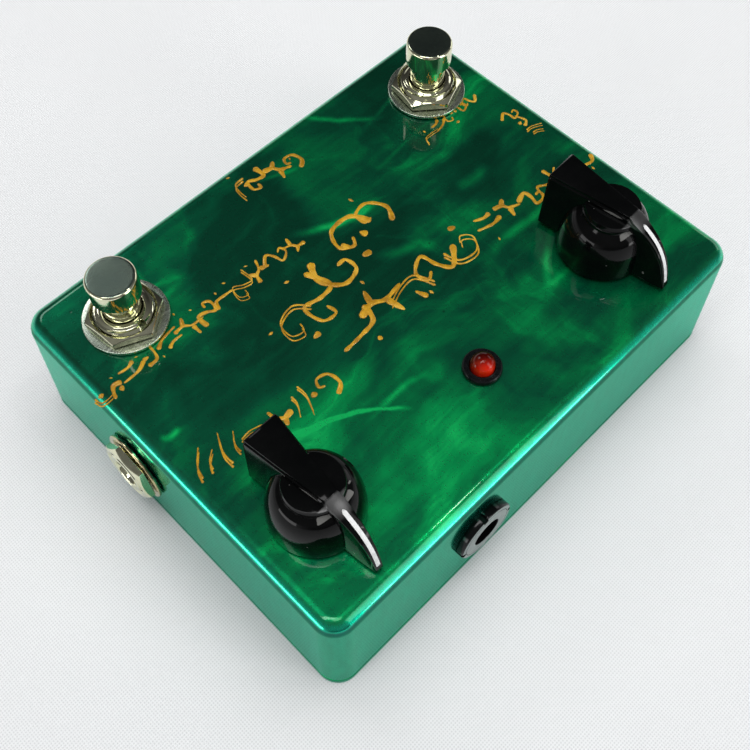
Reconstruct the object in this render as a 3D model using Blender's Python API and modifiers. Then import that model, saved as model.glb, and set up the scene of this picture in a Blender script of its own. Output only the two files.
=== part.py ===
# Two-footswitch guitar effect pedal in a die-cast 1590BB style box.
# Origin: centre of the underside of the cover, which the pedal stands on.
# +X is the player's right (input jack side), +Y the back (DC inlet side), +Z up. Metres.
import math

import bmesh
import bpy
from mathutils import Matrix, Vector

OBJECT_NAME = "effects_pedal"

# --- clearances and mesh resolution -------------------------------------------------
GAP = 0.0003               # between pieces that touch on the real thing
WELD = 0.00002
SHARP_ANGLE = math.radians(40.0)
EDGE_BREAK = 0.0003        # small chamfer on turned edges
PIN_BREAK = 0.0004
DRILL_THROUGH = 0.0120     # length of a drill that goes through one wall
SEG_FINE = 24
SEG_MID = 20
SEG_COARSE = 12

# --- die-cast box -------------------------------------------------------------------
BOX_LENGTH = 0.1195        # X, at the foot of the walls
BOX_DEPTH = 0.094          # Y, at the foot of the walls
BOX_TOP = 0.032
DRAFT = math.radians(2.875)
CORNER_R = 0.0048
TOP_R = 0.0029
WALL = 0.0023
PANEL_T = 0.0023
PANEL_UNDER = BOX_TOP - PANEL_T
COVER_T = 0.0016
SHELL_FOOT = COVER_T + GAP
LIP_TOP = 0.0040
LIP_T = 0.0014
BOSS_X = 0.0540
BOSS_Y = 0.0413
BOSS_R = 0.0036
PILOT_R = 0.0019
PILOT_TOP = 0.0150

# --- cover screws -------------------------------------------------------------------
SCREW_SHANK_R = 0.0016
SCREW_HEAD_R = 0.0030
SCREW_HEAD_LOW = 0.0002
SCREW_HEAD_RIM = 0.0004
SCREW_HEAD_TOP = 0.0014
SCREW_TIP = 0.0120
SCREW_SLOT_W = 0.0007
SCREW_SLOT_L = 0.0036
SCREW_SLOT_D = 0.0007

# --- footswitches -------------------------------------------------------------------
SWITCH_Y = -0.0302
SWITCHES = (("right", 0.04275, 35.8, 95.0), ("left", -0.04365, 20.5, 200.0))
SWITCH_HOLE_R = 0.0062
FS_WASHER_R = 0.00875
FS_WASHER_T = 0.0007
FS_NUT_AF = 0.0139
FS_NUT_T = 0.0020
FS_BUSH_R = 0.00585
FS_BUSH_BORE = 0.00425
FS_BUSH_TOP = 0.03625
FS_FRAME_TOP = 0.0263
FS_FRAME_T = 0.0011
FS_FRAME_X = 0.0124
FS_FRAME_Y = 0.0184
FS_LEG_T = 0.0010
FS_LEG_LOW = 0.0170
FS_BODY_X = 0.0162
FS_BODY_Y = 0.0158
FS_BODY_TOP = 0.0249
FS_BODY_LOW = 0.0128
FS_LUG_LOW = 0.0090
FS_LUG_PITCH_X = 0.0053
FS_LUG_PITCH_Y = 0.0047
FS_LOCKNUT_LOW = FS_FRAME_TOP + GAP
FS_LOCKNUT_TOP = PANEL_UNDER - GAP
FS_KEY_W = 0.0016
FS_KEY_DEPTH = 0.0009
FS_KEY_LOW = 0.0302
CAP_R = 0.0050
CAP_TOP = 0.04675
CAP_LOW = 0.04165
STEM_R = 0.0039
STEM_LOW = 0.0310
PIN_R = 0.0013
PIN_LOW = 0.0289
SPRING_R = 0.0026
SPRING_WIRE_R = 0.00025
SPRING_LOW = 0.0255
SPRING_TOP = 0.0304
SPRING_TURNS = 3

# --- potentiometers and knobs -------------------------------------------------------
POTS = (("right", 0.0435, 0.0258, 0.0), ("left", -0.0383, 0.0250, 2.3))
POT_HOLE_R = 0.0050
POT_BUSH_R = 0.0046
POT_BUSH_BORE = 0.0035
POT_BUSH_TOP = 0.0358
POT_NUT_AF = 0.0127
POT_NUT_T = 0.0020
POT_WASHER_R = 0.0074
POT_WASHER_T = 0.0006
POT_CASE_R = 0.0081
POT_CASE_TOP = PANEL_UNDER - GAP
POT_CASE_LOW = 0.0208
POT_TERM_LEN = 0.0086
POT_TERM_IN = 0.0026
POT_TERM_UP = 0.0012
POT_TERM_W = 0.0016
POT_TERM_T = 0.0008
SHAFT_R = 0.0031
SHAFT_TOP = 0.0440
SHAFT_LOW = 0.0235
POT_CAVITY_TOP = 0.0275
ROTOR_R = 0.0060
KNOB_LOW = 0.0326
KNOB_R = 0.0095
KNOB_DISC_Z = 0.0453
KNOB_DISC_R = 0.0056
KNOB_TOP = 0.0470
KNOB_TAIL = -0.0131
KNOB_TAIL_BULGE = 0.0010
KNOB_TAIL_HALF = 0.0040
KNOB_FRONT = 0.0044
KNOB_FRONT_HALF = 0.0018
KNOB_TIP = 0.0161
KNOB_TIP_HALF = 0.0008
KNOB_FIN_LOW = 0.0330
KNOB_RECESS_R = 0.0079
KNOB_RECESS_TOP = 0.0363
KNOB_BORE_R = 0.0053
KNOB_BORE_TOP = 0.0446
INSERT_R = 0.0050
INSERT_BORE = 0.0034
INSERT_LOW = 0.0368
INSERT_TOP = 0.0443
SET_SCREW_Z = 0.0405
SET_SCREW_R = 0.0012
SET_SCREW_HOLE_R = 0.0015
SET_SCREW_IN = 0.0037
SET_SCREW_OUT = 0.0068

# --- indicator lamp -----------------------------------------------------------------
LED_X = 0.0008
LED_Y = 0.0273
LED_HOLE_R = 0.0035
BEZEL_R = 0.0040
BEZEL_BODY_R = 0.0032
BEZEL_BORE = 0.0028
BEZEL_FLANGE_T = 0.0012
BEZEL_LOW = 0.0265
LENS_R = 0.0025
LENS_FLANGE_R = 0.0029
LENS_LOW = 0.0252
LENS_TOP = 0.0362
LED_LEAD_LOW = 0.0180
LED_LEAD_R = 0.00035
LED_LEAD_PITCH = 0.0011

# --- DC inlet, back wall ------------------------------------------------------------
DC_X = 0.0196
DC_Z = 0.0161
DC_HOLE_R = 0.0060
DC_THREAD_R = 0.0056
DC_BORE_R = 0.0032
DC_NUT_R = 0.0070
DC_NUT_OUT = 0.0017        # front of the ring nut, from the wall's face
DC_FACE_OUT = 0.0019
DC_BODY_W = 0.0140
DC_BODY_H = 0.0140
DC_BODY_IN = 0.0140
DC_BORE_DEEP = 0.0110
DC_PIN_R = 0.00105
DC_SLOT_W = 0.0013
DC_SLOT_D = 0.0009
DC_NOTCH_L = 0.0030
DC_NOTCH_TURN = 7.0        # degrees from the frame's X to the first notch
DC_THREAD_IN = 0.0070
DC_PIN_OUT = -0.0010

# --- quarter inch jacks, side walls -------------------------------------------------
JACK_Y = -0.0115
JACK_Z = 0.0159
JACK_HOLE_R = 0.0051
JACK_THREAD_R = 0.0047
JACK_BORE_R = 0.0033
JACK_WASHER_R = 0.00785
JACK_WASHER_T = 0.0007
JACK_NUT_AF = 0.0125
JACK_NUT_T = 0.0018
JACK_FACE_OUT = 0.0032
JACK_BODY_IN = 0.0300
JACK_BODY_W = 0.0148
JACK_BODY_H = 0.0130
JACK_BORE_DEEP = 0.0280
JACK_TERM = 0.0026
TIP_X_IN = 0.0245
TIP_T = 0.0004
TIP_W = 0.0030

# --- circuit board ------------------------------------------------------------------
BOARD_X = 0.0000
BOARD_Y = -0.0130
BOARD_L = 0.0500
BOARD_W = 0.0420
BOARD_LOW = 0.0082
BOARD_T = 0.0016
BOARD_TOP = BOARD_LOW + BOARD_T
POST_X = 0.0215
POST_Y = 0.0175
POST_BASE_R = 0.0040
POST_BASE_T = 0.0010
POST_R = 0.0024
POST_PIN_R = 0.0012
POST_HOLE_R = 0.0015
POST_PIN_TOP = BOARD_TOP + 0.0008
CHIP_L = 0.0096
CHIP_W = 0.0064
CHIP_T = 0.0034
CHIP_SPOT = (-0.0060, 0.0030)
CAP_SPOTS = (("a", 0.0080, 0.0100, 0.0031, 0.0110), ("b", 0.0165, 0.0085, 0.0025, 0.0105))
SHROUD_R = 0.0062
SHROUD_H = 0.0130
SHROUD_SPOT = (0.0110, -0.0075)

ROOT = bpy.data.collections.new(OBJECT_NAME)
CUTTERS = bpy.data.collections.new("cutters")


def clear_scene():
    for obj in list(bpy.data.objects):
        bpy.data.objects.remove(obj, do_unlink=True)
    for mesh in list(bpy.data.meshes):
        bpy.data.meshes.remove(mesh)
    bpy.context.scene.collection.children.link(ROOT)
    bpy.context.scene.collection.children.link(CUTTERS)


def material(name, color, metallic, roughness):
    mat = bpy.data.materials.get(name)
    if mat is None:
        mat = bpy.data.materials.new(name)
        mat.use_nodes = True
        shader = mat.node_tree.nodes["Principled BSDF"]
        shader.inputs["Base Color"].default_value = (color[0], color[1], color[2], 1.0)
        shader.inputs["Metallic"].default_value = metallic
        shader.inputs["Roughness"].default_value = roughness
        mat.diffuse_color = (color[0], color[1], color[2], 1.0)
    return mat


def put_in(obj, collection):
    for owner in list(obj.users_collection):
        owner.objects.unlink(obj)
    collection.objects.link(obj)


def as_part(obj, name, mat):
    obj.name = name
    obj.data.name = name
    obj.data.materials.clear()
    obj.data.materials.append(mat)
    put_in(obj, ROOT)
    return obj


def as_cutter(obj):
    obj.hide_render = True
    obj.display_type = "WIRE"
    put_in(obj, CUTTERS)
    return obj


def mesh_object(name, work):
    bmesh.ops.recalc_face_normals(work, faces=work.faces)
    mesh = bpy.data.meshes.new(name)
    work.to_mesh(mesh)
    work.free()
    obj = bpy.data.objects.new(name, mesh)
    ROOT.objects.link(obj)
    return obj


def boolean(obj, cutter, operation):
    mod = obj.modifiers.new(operation.lower() + "_" + cutter.name, "BOOLEAN")
    mod.operation = operation
    mod.solver = "EXACT"
    mod.object = cutter
    as_cutter(cutter)


def shade_round(obj):
    """Fix the turned shape as a mesh, smooth round its girth and sharp at its steps."""
    bpy.context.view_layer.update()
    graph = bpy.context.evaluated_depsgraph_get()
    obj.data = bpy.data.meshes.new_from_object(obj.evaluated_get(graph))
    obj.modifiers.clear()
    obj.data.shade_smooth()
    obj.data.set_sharp_from_angle(angle=SHARP_ANGLE)
    return obj


def turned(name, profile, segments, closed=False):
    """Solid turned about Z from (radius, height) points listed from the top down."""
    work = bmesh.new()
    verts = [work.verts.new((radius, 0.0, height)) for radius, height in profile]
    for first, second in zip(verts, verts[1:]):
        work.edges.new((first, second))
    if closed:
        work.edges.new((verts[-1], verts[0]))
    mesh = bpy.data.meshes.new(name)
    work.to_mesh(mesh)
    work.free()
    obj = bpy.data.objects.new(name, mesh)
    ROOT.objects.link(obj)
    mod = obj.modifiers.new("turn", "SCREW")
    mod.axis = "Z"
    mod.steps = segments
    mod.render_steps = segments
    mod.use_merge_vertices = True
    mod.merge_threshold = WELD
    return shade_round(obj)


def ring(name, bore, outer, low, high, segments, chamfer=0.0):
    """Washer or tube: outside listed top to bottom, then the bore back up."""
    profile = [
        (outer - chamfer, high),
        (outer, high - chamfer),
        (outer, low),
        (bore, low),
        (bore, high),
    ]
    if chamfer == 0.0:
        profile.pop(0)
    return turned(name, profile, segments, closed=True)


def rod(name, radius, low, high, segments, chamfer=0.0):
    profile = [
        (0.0, high),
        (radius - chamfer, high),
        (radius, high - chamfer),
        (radius, low),
        (0.0, low),
    ]
    if chamfer == 0.0:
        profile.pop(1)
    return turned(name, profile, segments)


def block(name, size_x, size_y, size_z, centre):
    work = bmesh.new()
    bmesh.ops.create_cube(work, size=1.0)
    bmesh.ops.scale(work, vec=(size_x, size_y, size_z), verts=work.verts)
    bmesh.ops.translate(work, vec=centre, verts=work.verts)
    return mesh_object(name, work)


def flat_outline(name, points, thickness):
    """Closed outline in XY given thickness about z = 0, as a welded mesh."""
    curve = bpy.data.curves.new(name, "CURVE")
    curve.dimensions = "2D"
    curve.fill_mode = "BOTH"
    curve.extrude = thickness / 2.0
    spline = curve.splines.new("POLY")
    spline.points.add(len(points) - 1)
    for spot, (x, y) in zip(spline.points, points):
        spot.co = (x, y, 0.0, 1.0)
    spline.use_cyclic_u = True
    shape = bpy.data.objects.new(name, curve)
    ROOT.objects.link(shape)
    bpy.context.view_layer.update()
    mesh = bpy.data.meshes.new_from_object(shape)
    work = bmesh.new()
    work.from_mesh(mesh)
    bmesh.ops.remove_doubles(work, verts=work.verts, dist=WELD)
    obj = mesh_object(name, work)
    bpy.data.objects.remove(shape, do_unlink=True)
    return obj


def hexagon(name, across_flats, low, high):
    work = bmesh.new()
    radius = across_flats / math.sqrt(3.0)
    bmesh.ops.create_cone(
        work,
        cap_ends=True,
        segments=6,
        radius1=radius,
        radius2=radius,
        depth=high - low,
        matrix=Matrix.Translation((0.0, 0.0, (low + high) / 2.0)),
    )
    point_to_x = Matrix.Rotation(math.radians(-30.0), 3, "Z")
    bmesh.ops.rotate(work, verts=work.verts, cent=(0, 0, 0), matrix=point_to_x)
    return mesh_object(name, work)


def hex_nut(name, across_flats, bore, low, high, frame):
    """Hex nut with its upper corners turned off at 30 degrees, placed by a matrix."""
    nut = hexagon(name, across_flats, low, high)
    flat = across_flats / 2.0
    corner = across_flats / math.sqrt(3.0)
    drop = (corner - flat * 0.97) * math.tan(math.radians(30.0))
    lathe = turned(
        name + "_lathe",
        [
            (flat * 0.97, high + GAP),
            (flat * 0.97, high),
            (corner, high - drop),
            (corner * 1.1, high - drop * 1.3),
            (corner * 1.1, low - GAP),
            (bore, low - GAP),
            (bore, high + GAP),
        ],
        SEG_MID,
        closed=True,
    )
    nut.matrix_world = frame
    lathe.matrix_world = frame
    boolean(nut, lathe, "INTERSECT")
    return nut


def drafted_block(name, low, high, inset, corner, top_round, corner_segments, top_segments):
    """Box with drafted walls: outline at z = 0 is the box's, less the inset."""
    work = bmesh.new()
    bmesh.ops.create_cube(work, size=1.0)
    for vert in work.verts:
        height = high if vert.co.z > 0.0 else low
        half_x = BOX_LENGTH / 2.0 - inset - height * math.tan(DRAFT)
        half_y = BOX_DEPTH / 2.0 - inset - height * math.tan(DRAFT)
        vert.co = Vector((math.copysign(half_x, vert.co.x), math.copysign(half_y, vert.co.y), height))
    upright = [edge for edge in work.edges if abs(edge.verts[0].co.z - edge.verts[1].co.z) > GAP]
    bmesh.ops.bevel(
        work,
        geom=upright,
        offset=corner,
        offset_type="OFFSET",
        segments=corner_segments,
        profile=0.5,
        affect="EDGES",
    )
    if top_round > 0.0:
        rim = [edge for edge in work.edges if all(abs(vert.co.z - high) < WELD for vert in edge.verts)]
        bmesh.ops.bevel(
            work,
            geom=rim,
            offset=top_round,
            offset_type="OFFSET",
            segments=top_segments,
            profile=0.5,
            affect="EDGES",
        )
    return mesh_object(name, work)


def corners():
    return ((1, 1), (1, -1), (-1, -1), (-1, 1))


def shift(obj, x, y, z=0.0):
    obj.location = Vector((x, y, z))
    return obj


def upright(x, y, degrees):
    """Frame standing on the origin's level, turned about its own Z."""
    return Matrix.Translation((x, y, 0.0)) @ Matrix.Rotation(math.radians(degrees), 4, "Z")


def wall_face(height, half):
    """Distance of a drafted wall's face from the middle at a height."""
    return half - height * math.tan(DRAFT)


def back_wall_frame():
    """Frame on the back wall's face with +Z pointing out through the wall."""
    lean = Matrix.Rotation(math.radians(-90.0) + DRAFT, 4, "X")
    return Matrix.Translation((DC_X, wall_face(DC_Z, BOX_DEPTH / 2.0), DC_Z)) @ lean


def side_wall_frame(sign):
    """Frame on a side wall's face with +Z pointing out through the wall."""
    lean = Matrix.Rotation(sign * (math.radians(90.0) - DRAFT), 4, "Y")
    return Matrix.Translation((sign * wall_face(JACK_Z, BOX_LENGTH / 2.0), JACK_Y, JACK_Z)) @ lean


def set_screw_frame(x, y, turn):
    """Frame on a knob's axis at the set screw's height, +Z along the knob's -X."""
    lay = Matrix.Rotation(math.radians(-90.0), 4, "Y")
    swing = Matrix.Rotation(math.radians(turn), 4, "Z")
    return Matrix.Translation((x, y, SET_SCREW_Z)) @ swing @ lay


def place(obj, frame):
    obj.matrix_world = frame
    return obj


def side_hole(name, radius, along, x, y, z, length):
    """Round cutter lying along X or Y, centred on the point."""
    cutter = rod(name, radius, -length / 2.0, length / 2.0, SEG_MID)
    if along == "X":
        cutter.rotation_euler = (0.0, math.radians(90.0), 0.0)
    else:
        cutter.rotation_euler = (math.radians(90.0), 0.0, 0.0)
    return shift(cutter, x, y, z)


# --- box and cover --------------------------------------------------------------------
def build_enclosure(paint):
    shell = drafted_block("enclosure", SHELL_FOOT, BOX_TOP, 0.0, CORNER_R, TOP_R, 5, 4)
    cavity = drafted_block("cavity", -0.002, PANEL_UNDER, WALL, 0.0030, 0.0010, 3, 1)
    for number, (side_x, side_y) in enumerate(corners()):
        boss = rod("boss_%d" % number, BOSS_R, -0.003, BOX_TOP, SEG_COARSE)
        shift(boss, side_x * BOSS_X, side_y * BOSS_Y)
        boolean(cavity, boss, "DIFFERENCE")
    boolean(shell, cavity, "DIFFERENCE")
    for number, (side_x, side_y) in enumerate(corners()):
        pilot = rod("pilot_%d" % number, PILOT_R, -0.001, PILOT_TOP, SEG_COARSE)
        shift(pilot, side_x * BOSS_X, side_y * BOSS_Y)
        boolean(shell, pilot, "DIFFERENCE")
    for side, x, _, _ in SWITCHES:
        hole = rod("switch_hole_" + side, SWITCH_HOLE_R, PANEL_UNDER - 0.003, BOX_TOP + 0.003, SEG_MID)
        boolean(shell, shift(hole, x, SWITCH_Y), "DIFFERENCE")
    for side, x, y, _ in POTS:
        hole = rod("pot_hole_" + side, POT_HOLE_R, PANEL_UNDER - 0.003, BOX_TOP + 0.003, SEG_MID)
        boolean(shell, shift(hole, x, y), "DIFFERENCE")
    lamp = rod("lamp_hole", LED_HOLE_R, PANEL_UNDER - 0.003, BOX_TOP + 0.003, SEG_COARSE)
    boolean(shell, shift(lamp, LED_X, LED_Y), "DIFFERENCE")
    inlet = side_hole("inlet_hole", DC_HOLE_R, "Y", DC_X, BOX_DEPTH / 2.0, DC_Z, DRILL_THROUGH)
    boolean(shell, inlet, "DIFFERENCE")
    for side, sign in (("right", 1.0), ("left", -1.0)):
        wall_x = sign * BOX_LENGTH / 2.0
        hole = side_hole("jack_hole_" + side, JACK_HOLE_R, "X", wall_x, JACK_Y, JACK_Z, DRILL_THROUGH)
        boolean(shell, hole, "DIFFERENCE")
    return as_part(shell, "enclosure", paint)


def build_cover(paint):
    cover = drafted_block("bottom_cover", 0.0, COVER_T, 0.0, CORNER_R, 0.0, 5, 0)
    lip = drafted_block("lip", COVER_T / 2.0, LIP_TOP, WALL + GAP, 0.0030, 0.0, 3, 0)
    room = drafted_block("lip_room", 0.0, LIP_TOP + GAP, WALL + GAP + LIP_T, 0.0025, 0.0, 3, 0)
    boolean(lip, room, "DIFFERENCE")
    for number, (side_x, side_y) in enumerate(corners()):
        clear = rod("boss_clear_%d" % number, BOSS_R + 2.0 * GAP, 0.0, LIP_TOP + GAP, SEG_COARSE)
        shift(clear, side_x * BOSS_X, side_y * BOSS_Y)
        boolean(lip, clear, "DIFFERENCE")
    boolean(cover, lip, "UNION")
    for number, (side_x, side_y) in enumerate(corners()):
        sink = turned(
            "sink_%d" % number,
            [
                (0.0, COVER_T + GAP),
                (PILOT_R, COVER_T + GAP),
                (PILOT_R, SCREW_HEAD_TOP),
                (SCREW_HEAD_R + GAP, SCREW_HEAD_RIM),
                (SCREW_HEAD_R + GAP, -GAP),
                (0.0, -GAP),
            ],
            SEG_COARSE,
        )
        shift(sink, side_x * BOSS_X, side_y * BOSS_Y)
        boolean(cover, sink, "DIFFERENCE")
    return as_part(cover, "bottom_cover", paint)


def build_cover_screws(steel):
    for number, (side_x, side_y) in enumerate(corners()):
        name = "cover_screw_%d" % (number + 1)
        screw = turned(
            name,
            [
                (0.0, SCREW_TIP),
                (SCREW_SHANK_R * 0.6, SCREW_TIP),
                (SCREW_SHANK_R, SCREW_TIP - 0.0008),
                (SCREW_SHANK_R, SCREW_HEAD_TOP),
                (SCREW_HEAD_R, SCREW_HEAD_RIM),
                (SCREW_HEAD_R, SCREW_HEAD_LOW),
                (0.0, SCREW_HEAD_LOW),
            ],
            SEG_COARSE,
        )
        shift(screw, side_x * BOSS_X, side_y * BOSS_Y)
        depth = SCREW_SLOT_D * 2.0
        slot = block(name + "_slot", SCREW_SLOT_L, SCREW_SLOT_W, depth, (0.0, 0.0, SCREW_HEAD_LOW))
        cross = block(name + "_cross", SCREW_SLOT_W, SCREW_SLOT_L, depth, (0.0, 0.0, SCREW_HEAD_LOW))
        for cutter in (slot, cross):
            shift(cutter, side_x * BOSS_X, side_y * BOSS_Y)
            boolean(screw, cutter, "DIFFERENCE")
        as_part(screw, name, steel)


# --- footswitches -----------------------------------------------------------------------
def build_footswitch(side, x, nut_turn, key_turn, nickel, plastic, spring_steel):
    tag = "footswitch_" + side
    washer_low = BOX_TOP + GAP
    washer_top = washer_low + FS_WASHER_T
    washer = ring(tag + "_washer", SWITCH_HOLE_R, FS_WASHER_R, washer_low, washer_top, SEG_FINE)
    as_part(shift(washer, x, SWITCH_Y), tag + "_washer", nickel)

    nut_low = washer_top + GAP
    nut_frame = upright(x, SWITCH_Y, nut_turn)
    nut = hex_nut(tag + "_nut", FS_NUT_AF, SWITCH_HOLE_R, nut_low, nut_low + FS_NUT_T, nut_frame)
    as_part(nut, tag + "_nut", nickel)

    lock_frame = upright(x, SWITCH_Y, 0.0)
    lock = hex_nut(tag + "_locknut", FS_NUT_AF, SWITCH_HOLE_R, FS_LOCKNUT_LOW, FS_LOCKNUT_TOP, lock_frame)
    as_part(lock, tag + "_locknut", nickel)

    frame_low = FS_FRAME_TOP - FS_FRAME_T
    frame = ring(tag + "_bushing", FS_BUSH_BORE, FS_BUSH_R, frame_low, FS_BUSH_TOP, SEG_FINE, EDGE_BREAK)
    shift(frame, x, SWITCH_Y)
    plate_z = FS_FRAME_TOP - FS_FRAME_T / 2.0
    plate = block(tag + "_plate", FS_FRAME_X, FS_FRAME_Y, FS_FRAME_T, (0.0, 0.0, plate_z))
    eye = rod(tag + "_eye", (FS_BUSH_BORE + FS_BUSH_R) / 2.0, FS_BODY_TOP, FS_FRAME_TOP + GAP, SEG_FINE)
    leg_height = FS_FRAME_TOP - FS_LEG_LOW
    leg_z = (FS_FRAME_TOP + FS_LEG_LOW) / 2.0
    leg_y = (FS_FRAME_Y - FS_LEG_T) / 2.0
    for number, sign in enumerate((1.0, -1.0)):
        leg = block(tag + "_leg_%d" % number, FS_FRAME_X, FS_LEG_T, leg_height, (0.0, sign * leg_y, leg_z))
        boolean(plate, shift(leg, x, SWITCH_Y), "UNION")
    boolean(plate, shift(eye, x, SWITCH_Y), "DIFFERENCE")
    boolean(frame, shift(plate, x, SWITCH_Y), "UNION")
    key_centre = (FS_BUSH_R - FS_KEY_DEPTH / 2.0 + GAP, 0.0, (FS_BUSH_TOP + FS_KEY_LOW) / 2.0 + GAP)
    key_height = FS_BUSH_TOP - FS_KEY_LOW + 2.0 * GAP
    key = block(tag + "_key", FS_KEY_DEPTH + 2.0 * GAP, FS_KEY_W, key_height, key_centre)
    place(key, upright(x, SWITCH_Y, key_turn))
    boolean(frame, key, "DIFFERENCE")
    as_part(frame, tag + "_bushing", nickel)

    body_mid = (FS_BODY_TOP + FS_BODY_LOW) / 2.0
    body = block(tag + "_body", FS_BODY_X, FS_BODY_Y, FS_BODY_TOP - FS_BODY_LOW, (0.0, 0.0, body_mid))
    shift(body, x, SWITCH_Y)
    for column in (-1, 0, 1):
        for row in (-1, 0, 1):
            spot = (column * FS_LUG_PITCH_X, row * FS_LUG_PITCH_Y, (FS_BODY_LOW + FS_LUG_LOW) / 2.0)
            tall = FS_BODY_LOW - FS_LUG_LOW + 2.0 * GAP
            lug = block(tag + "_lug_%d%d" % (column + 1, row + 1), 0.0022, 0.0008, tall, spot)
            boolean(body, shift(lug, x, SWITCH_Y), "UNION")
    as_part(body, tag + "_body", plastic)

    button = turned(
        tag + "_button",
        [
            (0.0, CAP_TOP),
            (CAP_R - 0.0005, CAP_TOP),
            (CAP_R - 0.00015, CAP_TOP - 0.00015),
            (CAP_R, CAP_TOP - 0.0005),
            (CAP_R, CAP_LOW + 0.0002),
            (CAP_R - 0.0003, CAP_LOW),
            (STEM_R, CAP_LOW - 0.0002),
            (STEM_R, STEM_LOW),
            (PIN_R, STEM_LOW),
            (PIN_R, PIN_LOW),
            (0.0, PIN_LOW),
        ],
        SEG_FINE,
    )
    as_part(shift(button, x, SWITCH_Y), tag + "_button", nickel)
    build_spring(tag + "_spring", x, spring_steel)


def build_spring(name, x, steel):
    curve = bpy.data.curves.new(name, "CURVE")
    curve.dimensions = "3D"
    curve.bevel_depth = SPRING_WIRE_R
    curve.bevel_resolution = 1
    curve.use_fill_caps = True
    spline = curve.splines.new("POLY")
    steps = 12 * SPRING_TURNS
    spline.points.add(steps)
    for step in range(steps + 1):
        angle = 2.0 * math.pi * SPRING_TURNS * step / steps
        rise = SPRING_LOW + (SPRING_TOP - SPRING_LOW) * step / steps
        spline.points[step].co = (SPRING_R * math.cos(angle), SPRING_R * math.sin(angle), rise, 1.0)
    coil = bpy.data.objects.new(name, curve)
    ROOT.objects.link(coil)
    bpy.context.view_layer.update()
    mesh = bpy.data.meshes.new_from_object(coil)
    work = bmesh.new()
    work.from_mesh(mesh)
    bmesh.ops.remove_doubles(work, verts=work.verts, dist=WELD)
    solid = mesh_object(name + "_solid", work)
    bpy.data.objects.remove(coil, do_unlink=True)
    as_part(shift(solid, x, SWITCH_Y), name, steel)


# --- potentiometers and knobs -----------------------------------------------------------
def build_pot(side, x, y, nickel, shaft_metal):
    tag = "pot_" + side
    washer_low = BOX_TOP + GAP
    washer = ring(tag + "_washer", POT_HOLE_R, POT_WASHER_R, washer_low, washer_low + POT_WASHER_T, SEG_MID)
    as_part(shift(washer, x, y), tag + "_washer", nickel)
    nut_low = washer_low + POT_WASHER_T + GAP
    nut = hex_nut(tag + "_nut", POT_NUT_AF, POT_HOLE_R, nut_low, nut_low + POT_NUT_T, upright(x, y, 12.0))
    as_part(nut, tag + "_nut", nickel)

    case = turned(
        tag + "_case",
        [
            (0.0, SHAFT_LOW - GAP),
            (ROTOR_R + GAP, SHAFT_LOW - GAP),
            (ROTOR_R + GAP, POT_CAVITY_TOP),
            (POT_BUSH_BORE, POT_CAVITY_TOP),
            (POT_BUSH_BORE, POT_BUSH_TOP),
            (POT_BUSH_R, POT_BUSH_TOP),
            (POT_BUSH_R, POT_CASE_TOP),
            (POT_CASE_R - 0.0004, POT_CASE_TOP),
            (POT_CASE_R, POT_CASE_TOP - 0.0004),
            (POT_CASE_R, POT_CASE_LOW),
            (0.0, POT_CASE_LOW),
        ],
        SEG_MID,
    )
    shift(case, x, y)
    term_y = -(POT_CASE_R + POT_TERM_LEN / 2.0 - POT_TERM_IN)
    for number, offset in enumerate((-0.005, 0.0, 0.005)):
        centre = (offset, term_y, POT_CASE_LOW + POT_TERM_UP)
        term = block(tag + "_term_%d" % number, POT_TERM_W, POT_TERM_LEN, POT_TERM_T, centre)
        boolean(case, shift(term, x, y), "UNION")
    as_part(case, tag + "_case", nickel)

    shaft = turned(
        tag + "_shaft",
        [
            (0.0, SHAFT_TOP),
            (SHAFT_R - 0.0004, SHAFT_TOP),
            (SHAFT_R, SHAFT_TOP - 0.0004),
            (SHAFT_R, POT_CAVITY_TOP - 0.0015),
            (ROTOR_R, POT_CAVITY_TOP - 0.0015),
            (ROTOR_R, SHAFT_LOW),
            (0.0, SHAFT_LOW),
        ],
        SEG_MID,
    )
    as_part(shift(shaft, x, y), tag + "_shaft", shaft_metal)


def fin_side_profile():
    """Side view of the pointer fin as (y, z), going round from the tail's foot."""
    front = [
        (KNOB_FRONT, KNOB_TOP),
        (0.0072, 0.0461),
        (0.0098, 0.0445),
        (0.0120, 0.0424),
        (0.0138, 0.0398),
        (0.0151, 0.0368),
        (KNOB_TIP, KNOB_FIN_LOW + 0.0006),
        (KNOB_TIP - 0.0003, KNOB_FIN_LOW),
    ]
    tail = KNOB_TAIL - KNOB_TAIL_BULGE
    return [(tail - 0.001, KNOB_FIN_LOW), (tail - 0.001, KNOB_TOP)] + front


def fin_plan():
    """Plan view of the fin as (x, y): wide arched tail narrowing to the tip."""
    points = []
    steps = 6
    for step in range(steps + 1):
        across = -1.0 + 2.0 * step / steps
        bulge = KNOB_TAIL_BULGE * (1.0 - across * across)
        points.append((across * KNOB_TAIL_HALF, KNOB_TAIL - bulge))
    points.append((KNOB_FRONT_HALF, KNOB_FRONT))
    points.append((KNOB_TIP_HALF, KNOB_TIP + 0.001))
    points.append((-KNOB_TIP_HALF, KNOB_TIP + 0.001))
    points.append((-KNOB_FRONT_HALF, KNOB_FRONT))
    return points


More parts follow.
